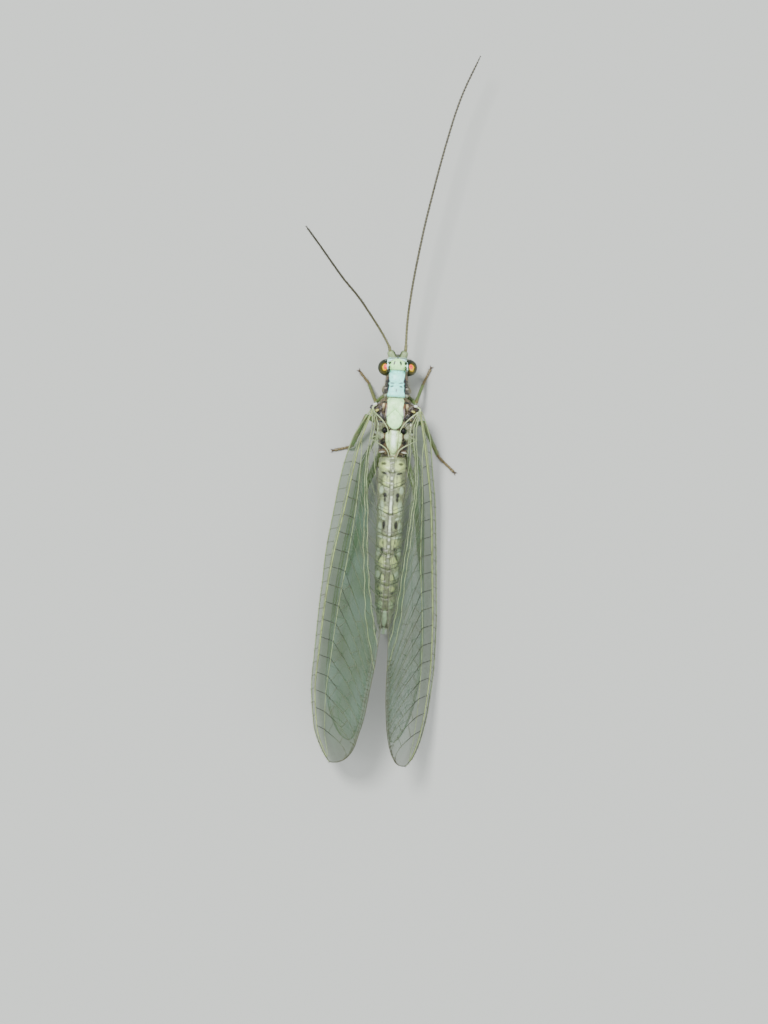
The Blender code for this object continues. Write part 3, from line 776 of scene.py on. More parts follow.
spot_marks(1.0, [
    (RED_BROWN, 0.7, 0.4, 0.8, 0.05, 0.08, 0), (NAVY, 1.0, 0.325, 0.94, 0.062, 0.06, 0),
    (NEAR_BLACK, 1.0, 0.395, 1.12, 0.11, 0.068, 0), (NAVY, 0.95, 0.335, 1.24, 0.04, 0.11, 0),
    (SPOT, 0.85, 0.45, 1.33, 0.05, 0.075, 0), ((0.7, 0.68, 0.64), 0.6, 0.43, 1.22, 0.05, 0.035, 0),
    ((0.42, 0.52, 0.52), 1.0, 0.17, 1.01, 0.09, 0.028, 0), (NAVY, 0.85, 0.18, 1.155, 0.068, 0.032, 14),
    ((0.42, 0.52, 0.52), 1.0, 0.0, 1.3, 0.024, 0.075, 0),
    ((0.62, 0.7, 0.6), 0.95, 0.46, 1.56, 0.13, 0.04, 55), (GREY_BROWN, 0.9, 0.37, 1.62, 0.1, 0.02, 48),
])
wash(GREY_BROWN, 0.9, on_top, bell(y - 1.585, 0.018), soft_step(0.42, 0.34, out))
# Black notches bite into the sides of the neck.
for middle, half in (((0.43, 1.12), (0.15, 0.078)), ((0.4, 0.95), (0.09, 0.05)),
                     ((0.46, 1.42), (0.1, 0.045))):
    wash(NEAR_BLACK, in_neck, oval(out, mark_y, middle, half), soft_step(1.35, 1.55, z),
         soft_step(0.28, 0.33, out))

plate_width = smooth([(1.6, 0.31), (1.75, 0.325), (2.0, 0.3), (2.12, 0.305), (2.3, 0.33), (2.5, 0.33),
                      (2.68, 0.29), (2.8, 0.17), (2.88, 0.02)])
in_wing_rings = band(y, 1.6, 1.63, 3.96, 4.02) * on_trunk
ring_tops = in_wing_rings * upper
columns = noise(skin * np.array([1, 0.35, 1]), 0.07, 23)
wash((0.33, 0.27, 0.19), ring_tops, 0.9)
wash((0.62, 0.56, 0.42), 0.8, ring_tops, soft_step(0.15, 0.6, columns))
wash(NEAR_BLACK, 0.8, ring_tops, soft_step(-0.25, -0.7, columns))
spot_marks(in_wing_rings, [
    ((0.4, 0.28, 0.16), 0.9, 0.375, 2.02, 0.06, 0.2, 0),
    ((0.56, 0.53, 0.55), 0.85, 0.35, 2.25, 0.035, 0.22, 0),
    ((0.12, 0.08, 0.04), 0.95, 0.42, 2.12, 0.034, 0.18, -8),
    ((0.8, 0.74, 0.54), 0.95, 0.475, 1.99, 0.036, 0.17, -6),
    ((0.14, 0.1, 0.06), 0.95, 0.72, 2.1, 0.28, 0.2, 0), (NEAR_BLACK, 1.0, 0.44, 1.79, 0.14, 0.036, 0),
    ((0.66, 0.66, 0.3), 0.9, 0.73, 2.13, 0.07, 0.045, 20),
    ((0.78, 0.8, 0.78), 0.95, 0.82, 1.9, 0.085, 0.055, 10), (NAVY, 1.0, 0.97, 2.01, 0.08, 0.07, 0),
    # The large near-black oval at 2.38 is painted shade in a gap between the lobes.
    (NEAR_BLACK, 0.95, 0.52, 2.38, 0.26, 0.11, -37), ((0.42, 0.44, 0.33), 0.85, 0.6, 2.78, 0.26, 0.22, 0),
    # The small near-white oval at 2.68 is a painted glint.
    (NAVY, 0.95, 0.58, 2.57, 0.14, 0.042, -8), ((0.86, 0.9, 0.8), 0.9, 0.66, 2.68, 0.032, 0.065, 0),
    (SPOT, 0.8, 0.72, 2.95, 0.035, 0.11, 0), ((0.7, 0.76, 0.66), 0.85, 0.68, 3.03, 0.1, 0.05, 0),
    ((0.58, 0.64, 0.5), 0.95, 0.53, 3.12, 0.115, 0.15, 0),
    ((0.38, 0.44, 0.3), 0.9, 0.73, 3.23, 0.12, 0.12, 0), (NEAR_BLACK, 1.0, 0.43, 3.36, 0.085, 0.15, -18),
    (NAVY, 0.8, 0.48, 3.6, 0.16, 0.07, 0), ((0.16, 0.15, 0.09), 0.95, 0.36, 3.92, 0.2, 0.075, 0),
    # The thin pale bar at 3.78 is a painted glint.
    ((0.74, 0.78, 0.7), 0.85, 0.46, 3.78, 0.13, 0.026, 6),
])
wash(CREAM_GREEN, ring_tops, soft_step(0.014, -0.014, out - plate_width(y)), y < 2.9)
wash(OLIVE, 0.5, on_top, bell(v_gap, 0.018), y > 2.05, y < 2.36)
wash((0.28, 0.34, 0.2), 0.8, on_top, bell(shield, 0.04), y > 2.66)

ridge_width = smooth([(2.88, 0.12), (2.94, 0.22), (3.02, 0.32), (3.3, 0.33), (3.5, 0.28), (3.7, 0.17),
                      (3.9, 0.09)])
on_ridge = soft_step(0.016, -0.016, out - ridge_width(y)) * band(y, 2.88, 2.93, 3.85, 3.95) * on_top
wash((0.74, 0.86, 0.6), on_ridge)
# A painted highlight runs down the middle of the ridge's front part.
wash((0.9, 0.99, 0.9), 0.9, on_ridge, soft_step(0.13, 0.05, out), soft_step(3.75, 3.4, y))
wash((0.5, 0.56, 0.32), 0.7, on_ridge, bell(out - 0.185, 0.02))
wash(RED_BROWN, 0.6, on_ridge, bell(out - ridge_width(y), 0.02))
print("the stripe is", 2 * float(stripe_width(0.9)), "mm wide on the neck, and the plate behind it",
      2 * float(plate_width(2.5)), "mm")

# %% [markdown]
# Each ring of the abdomen has a pair of dark spots, cream blocks and two fine dark arcs at its rear edge.
# A bright broken line edged with grey runs along the middle. The spots change from ring to ring,
# so each has its own row here.

# %% Markings of the abdomen
under = soft_step(0.22, 0.3, np.abs(trunk_side(skin)))
speckle = noise(skin, 0.05, 32)
wash((0.46, 0.5, 0.37), in_abdomen)
wash((0.58, 0.64, 0.46), 0.8, in_abdomen, soft_step(-0.2, 0.5, noise(skin, 0.14, 31)))
wash((0.32, 0.34, 0.24), 0.6, in_abdomen, soft_step(0.1, 0.7, speckle))
wash((0.52, 0.56, 0.34), in_abdomen, under)
SIDE_PALE = paint(0.7, 0.8, 0.66)
HIND_GREEN = paint(0.64, 0.76, 0.56)
# First the cream blocks and pale patches, ring by ring.
spot_marks(in_abdomen, [
    (STRAW, 0.9, 0.29, 4.33, 0.23, 0.19, 0), (STRAW, 0.85, 0.13, 4.95, 0.05, 0.2, 0),
    (STRAW, 0.85, 0.28, 4.93, 0.075, 0.2, 0), (SIDE_PALE, 0.9, 0.4, 5.3, 0.075, 0.14, 0),
    (SIDE_PALE, 0.7, 0.37, 6.02, 0.1, 0.28, 0), (STRAW, 0.95, 0.2, 6.08, 0.1, 0.14, 0),
    (SIDE_PALE, 0.95, 0.33, 6.42, 0.13, 0.045, -25), (SIDE_PALE, 0.8, 0.4, 6.8, 0.07, 0.22, 0),
    (SIDE_PALE, 0.9, 0.33, 7.18, 0.17, 0.035, -15), (STRAW, 0.8, 0.23, 7.42, 0.14, 0.17, 0),
    (SIDE_PALE, 0.8, 0.42, 7.78, 0.07, 0.16, 0), (STRAW, 1.0, 0.22, 8.17, 0.135, 0.21, 0),
    (SIDE_PALE, 0.85, 0.38, 8.68, 0.09, 0.15, 0), (STRAW, 0.95, 0.175, 8.84, 0.075, 0.16, 0),
    (STRAW, 0.95, 0.2, 9.24, 0.12, 0.085, 0), (HIND_GREEN, 0.95, 0.21, 9.88, 0.085, 0.15, 0),
    (HIND_GREEN, 0.8, 0.21, 10.35, 0.045, 0.2, 0),
])
# Then the dark spots and slanting lines.
spot_marks(in_abdomen, [
    (SPOT, 0.85, 0.34, 4.25, 0.095, 0.055, 0), (NEAR_BLACK, 0.9, 0.29, 4.63, 0.12, 0.045, -15),
    (SPOT, 0.6, 0.1, 4.6, 0.05, 0.06, 0), (NEAR_BLACK, 0.95, 0.25, 5.5, 0.075, 0.11, 8),
    (NEAR_BLACK, 0.9, 0.24, 5.68, 0.055, 0.09, 0), (SPOT, 0.8, 0.05, 6.27, 0.08, 0.035, 0),
    (NEAR_BLACK, 0.95, 0.245, 6.7, 0.068, 0.18, 0), (SPOT, 0.6, 0.25, 7.4, 0.035, 0.07, 0),
    (NEAR_BLACK, 0.95, 0.26, 7.67, 0.076, 0.095, 0), (SPOT, 0.8, 0.31, 7.95, 0.035, 0.22, -22),
    (SPOT, 0.75, 0.275, 8.76, 0.026, 0.21, -20), (SPOT, 0.85, 0.22, 9.42, 0.06, 0.05, 0),
    (SPOT, 0.6, 0.28, 10.08, 0.16, 0.02, 0),
])
for edge in RING_EDGES[2:]:
    behind = ring_edge(mark_x, mark_y, edge)
    for offset in (0.0, 0.15):
        wash((0.2, 0.21, 0.16), 0.8, in_abdomen, upper, bell(behind + offset, 0.02),
             soft_step(0.05, 0.12, out))
on_midline = in_abdomen * upper * soft_step(10.1, 10.0, y)
dots = soft_step(0.0, 0.35, noise(skin * np.array([0.4, 1, 0.4]), 0.06, 33))
bright = bell(y - 5.92, 0.26) + bell(y - 6.68, 0.3) + 0.6 * soft_step(8.4, 7.6, y) * dots
bright = np.clip(bright, 0, 1) * soft_step(0.03, 0.1, np.abs(y - 6.27))
wash((0.26, 0.27, 0.22), 0.8, on_midline, bell(out - 0.08, 0.022))
wash((0.42, 0.46, 0.32), 0.9, on_midline, soft_step(0.07, 0.045, out))
wash((0.24, 0.25, 0.2), 0.6, on_midline, soft_step(0.05, 0.03, out), soft_step(0.1, 0.5, speckle))
wash((0.9, 0.96, 0.86), on_midline, soft_step(0.05, 0.032, out), bright)
last_plate = in_abdomen * upper * soft_step(10.05, 10.12, y)
last_strip = out + 0.06 * bell(y - 10.06, 0.1) + 0.06 * bell(y - 10.8, 0.1) + 0.02 * noise(skin, 0.1, 34)
wash((0.46, 0.49, 0.4), 0.7, last_plate, soft_step(0.08, 0.11, out))
wash(SPOT, 0.7, last_plate, bell(out - 0.1, 0.016), soft_step(10.8, 10.74, y))
wash((0.62, 0.73, 0.57), last_plate, soft_step(0.1, 0.06, last_strip))
wash(SPOT, 0.8, last_plate, bell(y - 10.79, 0.022))
wash((0.76, 0.8, 0.76), 0.9, soft_step(10.82, 10.88, y), bell(out - 0.09, 0.045))
print("the abdomen's rings end at", RING_EDGES, "mm")

# %% [markdown]
# The legs are plain: grey green on the thighs and shins, browner at the knees and along the feet.
# Where a point lies on its leg is known already, so the colour simply follows the way down the leg.

# %% Markings of the legs
SHIN_NUMBER, FOOT_NUMBER = 1, 2
on_shin, on_foot = leg_joint == SHIN_NUMBER, leg_joint == FOOT_NUMBER
mottled = soft_step(0.1, 0.5, skin_normals[:, 2]) * soft_step(-0.4, 0.2, noise(skin, 0.25, 41))
leg_tint = np.where((leg_joint == 0)[:, None], paint(0.37, 0.45, 0.26), paint(0.3, 0.38, 0.19))
for colour, amount in ((paint(0.42, 0.36, 0.2), on_shin * bell(leg_way, 0.06)),
                       (paint(0.4, 0.36, 0.18), 0.5 * on_shin * mottled), (FOOT_BROWN, on_foot),
                       (paint(0.2, 0.15, 0.08), 0.8 * on_foot * bell((leg_way * 6.2) % 1 - 0.1, 0.12))):
    leg_tint = blend(leg_tint, colour, amount)
colours = np.where(on_leg[:, None], leg_tint, colours)

skin_nodes = [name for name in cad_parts
              if not name.startswith(("eye", "forewing", "hindwing")) and "flagellum" not in name]
make_piece("body_skin", skin, skin_faces, body_finish, "cuticle_pale", colours, skin_nodes)
print("one skin replaces", len(skin_nodes), "nodes")

# %% [markdown]
# A compound eye is a dome packed with about a thousand six-sided lenses.
# A bump map of hexagons would stretch at the edges, so the lenses are set out like the seeds of a sunflower.
# Each point of the dome is raised by how near it is to the middle of its lens.
# The eye is dark green. On top lies a patch of gold, orange and pink, a painted sheen for the glow a living
# eye shows from above, and a band of painted green sheen runs round its middle.

# %% The eyes
LENSES = 1500
LENS_BULGE = 0.007
LENS_GAP = math.sqrt(5.0 / LENSES)
OPEN_ANGLE = math.radians(103)


def make_eye(side, name, middle_y, sheen_out, sheen_y):
    """One eye, its middle along the body, and where its patch of painted sheen lies out to the side and
    along.
    """
    count = np.arange(LENSES) + 0.5
    height = 1 - 1.25 * count / LENSES
    turn = count * math.pi * (3 - math.sqrt(5))
    flat = np.sqrt(1 - height ** 2)
    lenses = np.column_stack([height, flat * np.cos(turn), flat * np.sin(turn)])
    rings, sides = ((84, 150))
    around = np.arange(sides) * FULL_TURN / sides
    points = []
    for i in range(rings):
        angle = OPEN_ANGLE * (i + 0.4) / rings
        points.append(np.column_stack([np.full(sides, math.cos(angle)), math.sin(angle) * np.cos(around),
                                       math.sin(angle) * np.sin(around)]))
    directions = np.concatenate(points + [[(1, 0, 0), (-0.2, 0, 0)]])
    gap = np.arccos(np.clip(np.max(directions @ lenses.T, axis=1), -1, 1)) / LENS_GAP
    # The lenses flatten towards the rim, so that the rim meets the head in a clean line.
    bulge = LENS_BULGE / 0.35 * soft_step(0.0, 0.3, directions[:, 0])
    raised = 1 - bulge * np.clip(gap / 0.55, 0, 1) ** 2
    raised[-1] = 1
    spots = directions * raised[:, None] * EYE_SIZE + np.array([EYE_MIDDLE[0], middle_y, EYE_MIDDLE[2]])
    behind, beyond = spots[:, 1] - sheen_y, spots[:, 0] - sheen_out
    patch = np.hypot(behind / 0.116, beyond / 0.08) + 0.22 * noise(spots, 0.055, 51)
    patch = patch + 2.0 * soft_step(1.6, 1.45, spots[:, 2])
    # The painted gold sheen shows only on the outer and rear side of the patch.
    outward = behind / 0.3 + beyond / 0.17
    shade = np.tile(paint(0.02, 0.085, 0.015), (len(spots), 1))
    # Painted sheen: a green band round the eye's middle, then the gold, orange and pink patch on top.
    for colour, amount in (
        ((0.13, 0.24, 0.03), 0.6 * bell(spots[:, 2] - 1.4, 0.16)),
        ((0.27, 0.25, 0.0), soft_step(2.5, 1.1, patch - 0.7 * outward)),
        ((0.86, 0.68, 0.0), soft_step(1.22, 0.95, patch - 0.42 * outward)),
        ((1.0, 0.44, 0.26), soft_step(0.98, 0.78, patch + 0.2 * outward)),
        ((0.84, 0.02, 0.14), 0.95 * bell(patch - 0.42, 0.26)),
        ((0.96, 0.26, 0.3), 0.7 * soft_step(0.26, 0.06, patch)),
    ):
        shade = blend(shade, paint(*colour), amount)
    shade = shade * (1 + 0.12 * noise(spots, 0.03, 52))[:, None]
    faces = ring_faces(rings, sides)
    if side > 0:
        faces = [face[::-1] for face in faces]
    make_piece(name, spots * np.array([side, 1, 1]), faces, eye_finish, "eye_surface", shade, [name])


make_eye(1, "eye_left", 0.4, 0.495, 0.39)
make_eye(-1, "eye_right", 0.37, 0.545, 0.35)
print("each eye has about", LENSES, "lenses,", round(1000 * LENS_GAP * 0.35), "thousandths of a mm apart")

# %% [markdown]
# A feeler is a thread of about ninety short rings on a thick first joint, darker towards its end.
# One tube whose thickness dips at each joint shows the rings without ninety separate pieces.
# The left feeler rises towards the camera and the right one lies level.

# %% The feelers
FEELERS = {
    "left": [(0.345, -0.27, 1.7), (0.4, -0.47, 1.8), (0.79, -1.09, 2.3), (1.62, -2.19, 3.45),
             (2.28, -2.88, 4.65), (2.75, -3.43, 5.75), (3.24, -4.02, 7.1), (3.84, -4.7, 9.1)],
    "right": [(-0.285, -0.28, 1.68), (-0.29, -0.5, 1.74), (-0.3, -1.55, 1.98), (-0.43, -2.95, 2.22),
              (-0.64, -4.43, 2.36), (-0.88, -5.84, 2.42), (-1.41, -8.4, 2.44), (-1.94, -10.43, 2.36),
              (-2.64, -12.2, 2.2)],
}
FEELER_RINGS = 90


def curve_through(points, count):
    """Even steps along a smooth curve through the given points."""
    given = np.asarray(points, float)
    ends = np.vstack([2 * given[0] - given[1], given, 2 * given[-1] - given[-2]])
    t = np.linspace(0, 1, 30, endpoint=False)[:, None]
    pieces = []
    for a, b, c, d in zip(ends, ends[1:], ends[2:], ends[3:]):
        bend = (2 * a - 5 * b + 4 * c - d) * t ** 2 + (3 * b - a - 3 * c + d) * t ** 3
        pieces.append((2 * b + (c - a) * t + bend) / 2)
    fine = np.vstack(pieces + [given[-1:]])
    walked = np.concatenate([[0], np.cumsum(np.linalg.norm(np.diff(fine, axis=0), axis=1))])
    wanted = np.linspace(0, walked[-1], count)
    return np.column_stack([np.interp(wanted, walked, fine[:, i]) for i in range(3)]), walked[-1]


FEELER_RADIUS = smooth([(0, 0.062), (0.012, 0.07), (0.03, 0.05), (0.5, 0.044), (0.95, 0.036), (1, 0.014)])
feeler_paths = {}
for side, points in FEELERS.items():
    path, length = curve_through(points, FEELER_RINGS * 5 + 1)
    share = np.linspace(0, 1, len(path))
    within = (share * FEELER_RINGS) % 1
    radii = FEELER_RADIUS(share) * (0.86 + 0.14 * np.sin(within * math.pi) ** 0.5)
    dark = smooth([(0, 0.0), (0.06, 0.25), (0.25, 0.8), (1, 1.0)])(share)
    tint = blend(np.tile(paint(0.4, 0.4, 0.25), (len(path), 1)), paint(0.15, 0.13, 0.07), dark)
    tint = blend(tint, paint(0.62, 0.6, 0.45), 0.35 * bell(within - 0.05, 0.12))
    name = "antenna_%s_flagellum" % side
    make_piece(name, *tube(path, radii, 10), feeler_finish, "feeler_skin", ring_tint(tint, 10), [name])
    feeler_paths[side] = (path, radii)
    print("the", side, "feeler is", round(float(length), 1), "mm long")

# %% [markdown]
# Each wing is a clear sheet stretched between veins, and the roof it makes is bent along its main vein.
# A flat sheet with a picture of veins would show no edge from the side, so the sheet has the true fold.
# A place on a wing is told by two numbers: the share of its length, and the reach across from the main vein.

# %% The shape of the wings
FOREWING = {"root": 2.1, "tip": 16.25, "depth": 0.0}
HINDWING = {"root": 3.28, "tip": 15.3, "depth": 0.36}
FOLD_HALF_WIDTH, MITRE_FULL_WIDTH, MITRE_START = 0.2, 4.5, 0.2
POSES = {
    "left": {
        "sign": 1,
        "vein_out": smooth([(2.1, 0.9), (3.56, 1.36), (6.07, 1.8), (8.18, 2.18), (9.9, 2.38), (12.0, 2.53),
                            (13.2, 2.6), (14.9, 2.45), (15.8, 2.12), (16.25, 1.85)]),
        "vein_up": smooth([(2.1, 2.1), (4.0, 1.88), (6.0, 1.62), (8.0, 1.44), (10.0, 1.34), (12.0, 1.3),
                           (13.2, 1.32), (14.9, 1.52), (15.8, 1.94), (16.25, 2.29)]),
        "front_slope": smooth([(2.1, 30), (5.0, 42), (7.5, 55), (9.5, 68), (16.25, 73)]),
        "back_slope": smooth([(2.1, 12), (3, 25), (4, 40), (5, 46), (8, 46), (12, 52), (16.25, 53)]),
    },
    "right": {
        "sign": -1,
        "vein_out": smooth([(2.1, 1.0), (4.05, 1.36), (5.7, 1.61), (8.8, 1.84), (11.0, 1.96), (12.1, 1.97),
                            (13.9, 1.85), (15.1, 1.66), (15.9, 1.4), (16.25, 1.15)]),
        "vein_up": smooth([(2.1, 2.1), (4.0, 1.84), (6.0, 1.52), (8.0, 1.28), (10.0, 1.14), (12.1, 1.1),
                           (13.9, 1.32), (15.1, 1.66), (15.9, 2.14), (16.25, 2.58)]),
        "front_slope": smooth([(2.1, 35), (5.0, 74), (16.25, 76)]),
        "back_slope": smooth([(2.1, 12), (3, 26), (4, 44), (5.5, 53), (8, 56), (12, 62), (16.25, 62)]),
    },
}
FRONT_FIELD = smooth([(0, 0.06), (0.03, 0.2), (0.08, 0.4), (0.25, 0.62), (0.5, 0.6), (0.8, 0.48), (1, 0.36)])
BACK_FIELD = smooth([(0, 0.1), (0.02, 0.42), (0.05, 0.78), (0.13, 1.06), (0.22, 1.58), (0.3, 2.22),
                     (0.48, 3.22), (0.62, 3.76), (0.75, 3.98), (1, 4.1)])
HIND_FRONT = smooth([(0, -0.12), (0.2, -0.02), (0.4, 0.06), (1, 0.1)])
HIND_BACK = smooth([(0, 0.26), (0.06, 0.34), (0.16, 1.1), (0.3, 1.95), (0.46, 2.85), (0.62, 3.36),
                    (0.78, 3.46), (1, 3.3)])


def near_tip(share, power):
    return np.sqrt(np.maximum(1 - np.asarray(share, float) ** power, 0))


def forewing_edges(share):
    """Reach of the front edge, the main vein and the back edge at a share of the length."""
    main = 0 * np.asarray(share, float)
    return -FRONT_FIELD(share) * near_tip(share, 9), main, BACK_FIELD(share) * near_tip(share, 7)


def hindwing_edges(share):
    closing = near_tip(share, 7)
    middle = 1.45 * soft_step(0.55, 1.0, share)
    front = middle + (HIND_FRONT(share) - middle) * closing
    back = middle + (HIND_BACK(share) - middle) * closing
    # At the root all veins draw together and reach in to the body.
    opened = soft_step(-0.02, 0.1, share)
    front = 0.45 + (front - 0.45) * opened
    return front, front + 0.17 * closing * opened, 0.54 + (back - 0.54) * opened


def wing_surface(kind, pose, edges, share, reach):
    """Points of a wing in millimetres, with the fold along its main vein."""
    share, reach = np.asarray(share, float), np.asarray(reach, float)
    y = kind["root"] + (kind["tip"] - kind["root"]) * share
    back = np.radians(pose["back_slope"](y))
    front = back if kind["depth"] else np.radians(pose["front_slope"](y))

    def folded(reach):
        """How far in, how far up and how steep the wing is at a reach from its main vein."""
        middle, bend = (front + back) / 2, (back - front) / (2 * FOLD_HALF_WIDTH)
        held = np.clip(reach, -FOLD_HALF_WIDTH, FOLD_HALF_WIDTH)
        slope = middle + bend * held
        straight = np.abs(bend) < 1e-6
        safe = np.where(straight, 1.0, bend)
        inward = np.where(straight, np.cos(middle) * held, (np.sin(slope) - np.sin(middle)) / safe)
        upward = np.where(straight, np.sin(middle) * held, (np.cos(middle) - np.cos(slope)) / safe)
        return inward + (reach - held) * np.cos(slope), upward + (reach - held) * np.sin(slope), slope

    inward, upward, slope = folded(reach)
    points = np.stack([pose["vein_out"](y) - inward, y + 0 * reach, pose["vein_up"](y) + upward], axis=-1)
    # Between the veins the membrane is never quite flat.
    ripple = np.sin(9.0 * reach + 3 * share) * np.sin(31.0 * share)
    points[..., 2] += 0.018 * ripple * soft_step(0, 0.1, share)
    # A hindwing lies below the forewing, moved along the sheet's normal, and straight down at its inner edge.
    if kind["depth"]:
        first, _, last = edges(share)
        wide = np.minimum((last - first) / MITRE_FULL_WIDTH, 1)[..., None]
        centre = folded((first + last) / 2)[2]
        still = np.zeros_like(slope)
        plain = np.stack([np.sin(centre) + still, still, np.cos(centre) + still], axis=-1)
        square = np.stack([np.sin(slope), still, np.cos(slope)], axis=-1)
        upright = np.stack([still, still, 1 / np.cos(back) + still], axis=-1)
        across = np.clip((reach - first) / np.maximum(last - first, 1e-6), 0, 1)
        mitre = (np.maximum(across - MITRE_START, 0) / (1 - MITRE_START))[..., None]
        off = plain + (square + (upright - square) * mitre - plain) * wide
        points = points - off * kind["depth"]
    points[..., 0] *= pose["sign"]
    return points


WINGS = {"forewing": (FOREWING, forewing_edges), "hindwing": (HINDWING, hindwing_edges)}
tip = wing_surface(FOREWING, POSES["left"], forewing_edges, 0.999, 0.0)
print("the left forewing's tip is at", tip.round(2), "mm")

# %% [markdown]
# The sheet of a wing is a grid of faces from its front edge to its back edge.
# Its colour is a clear grey green that drifts a little, as a real membrane is never quite even; pale bluish
# patches in it are a painted sheen.

# %% The membranes
# Two long lines run down the middle of a wing. Their part of the way from the main vein to the back edge:
UPPER_LINE = smooth([(0.02, 0.3), (0.1, 0.46), (0.2, 0.55), (0.35, 0.57), (0.45, 0.63), (0.58, 0.72),
                     (0.65, 0.84), (0.73, 1.0)])
LOWER_LINE = smooth([(0.03, 0.46), (0.12, 0.6), (0.35, 0.65), (0.49, 0.735), (0.6, 0.87), (0.67, 1.0)])
ROOT_STEP = 0.016


def make_membrane(wing_name, side):
    kind, edges = WINGS[wing_name]
    pose = POSES[side]
    rows, columns = ((160, 44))
    share = 0.9996 * soft_step(0, 1, np.linspace(0, 1, rows))
    first, main, last = (edge[:, None] for edge in edges(share))
    reach = first + (last - first) * np.linspace(0, 1, columns)
    share = share[:, None]
    points = wing_surface(kind, pose, edges, np.repeat(share, columns, 1), reach).reshape(-1, 3)
    faces = [(a, a + 1, a + columns + 1, a + columns) for i in range(rows - 1)
             for a in range(i * columns, (i + 1) * columns - 1)]
    if pose["sign"] > 0:
        faces = [face[::-1] for face in faces]
    behind = (reach - main).ravel()
    tint = np.tile(paint(0.21, 0.32, 0.2), (len(points), 1))
    for colour, amount in (
        # Pale bluish patches: a painted sheen.
        ((0.28, 0.39, 0.32), 0.6 * soft_step(-0.3, 0.7, noise(points, 0.9, 61))),
        ((0.21, 0.29, 0.16), 0.7 * soft_step(-0.1, 0.8, noise(points, 0.6, 62))),
        ((0.19, 0.27, 0.14), 0.8 * band(behind, 0.03, 0.1, 0.55, 0.8)),
        ((0.23, 0.32, 0.19), 0.7 * soft_step(-0.02, -0.08, behind)),
        ((0.2, 0.25, 0.15), 0.7 * np.repeat(soft_step(0.9, 1.0, share), columns)),
    ):
        tint = blend(tint, paint(*colour), amount)
    name = "%s_%s" % (wing_name, side)
    whole = front_finish if wing_name == "forewing" else hindwing_finish
    sheet = make_piece(name, points, faces, whole, "wing_membrane", tint, [name])
    # The field behind the two middle lines is clearer, and so is the root.
    for finish in [clear_finish] + root_finishes:
        sheet.data.materials.append(finish)
    field = ((reach - main) / np.maximum(last - main, 1e-6) > LOWER_LINE(share)) * 1
    steps = len(root_finishes) if wing_name == "forewing" else 3
    for step in reversed(range(steps)):
        field[(share < ROOT_STEP * (step + 1)) & (field != 1)] = 2 + step
    sheet.data.polygons.foreach_set("material_index", field[:-1, :-1].ravel().astype(np.int32))
    print(name, "has", len(faces), "faces")


for wing_name in WINGS:
    for side in POSES:
        make_membrane(wing_name, side)

# %% [markdown]
# The veins follow the plan that all green lacewings share. Long veins run out from the root,
# short dark crossveins part the front field into a ladder, and branches slant back to forks at the margin.
# Drawing each by hand would take hundreds of points. The plan is told once in shares and reaches,
# and the same plan is laid on all four wings.

# %% The plan of the veins
# How far behind the main vein the ladder's other side runs, in millimetres.
LADDER_REACH = smooth([(0.08, 0.0), (0.14, 0.28), (0.25, 0.58), (0.45, 0.86), (0.7, 0.84), (0.85, 0.66),
                       (0.95, 0.36), (0.99, 0.08)])
PALE_VEIN = paint(0.5, 0.57, 0.38)
MAIN_VEIN = paint(0.52, 0.58, 0.34)
DARK_VEIN = paint(0.1, 0.12, 0.09)
FAINT_VEIN = paint(0.34, 0.39, 0.28)
MARGIN = paint(0.24, 0.26, 0.17)
HAZE = paint(0.45, 0.52, 0.44)
# The width of a wing from vein to edge, the steps along a vein, and points on a long one.
USUAL_WIDTH = 2.5
VEIN_STEP = 0.11
LONG_COUNT = 60


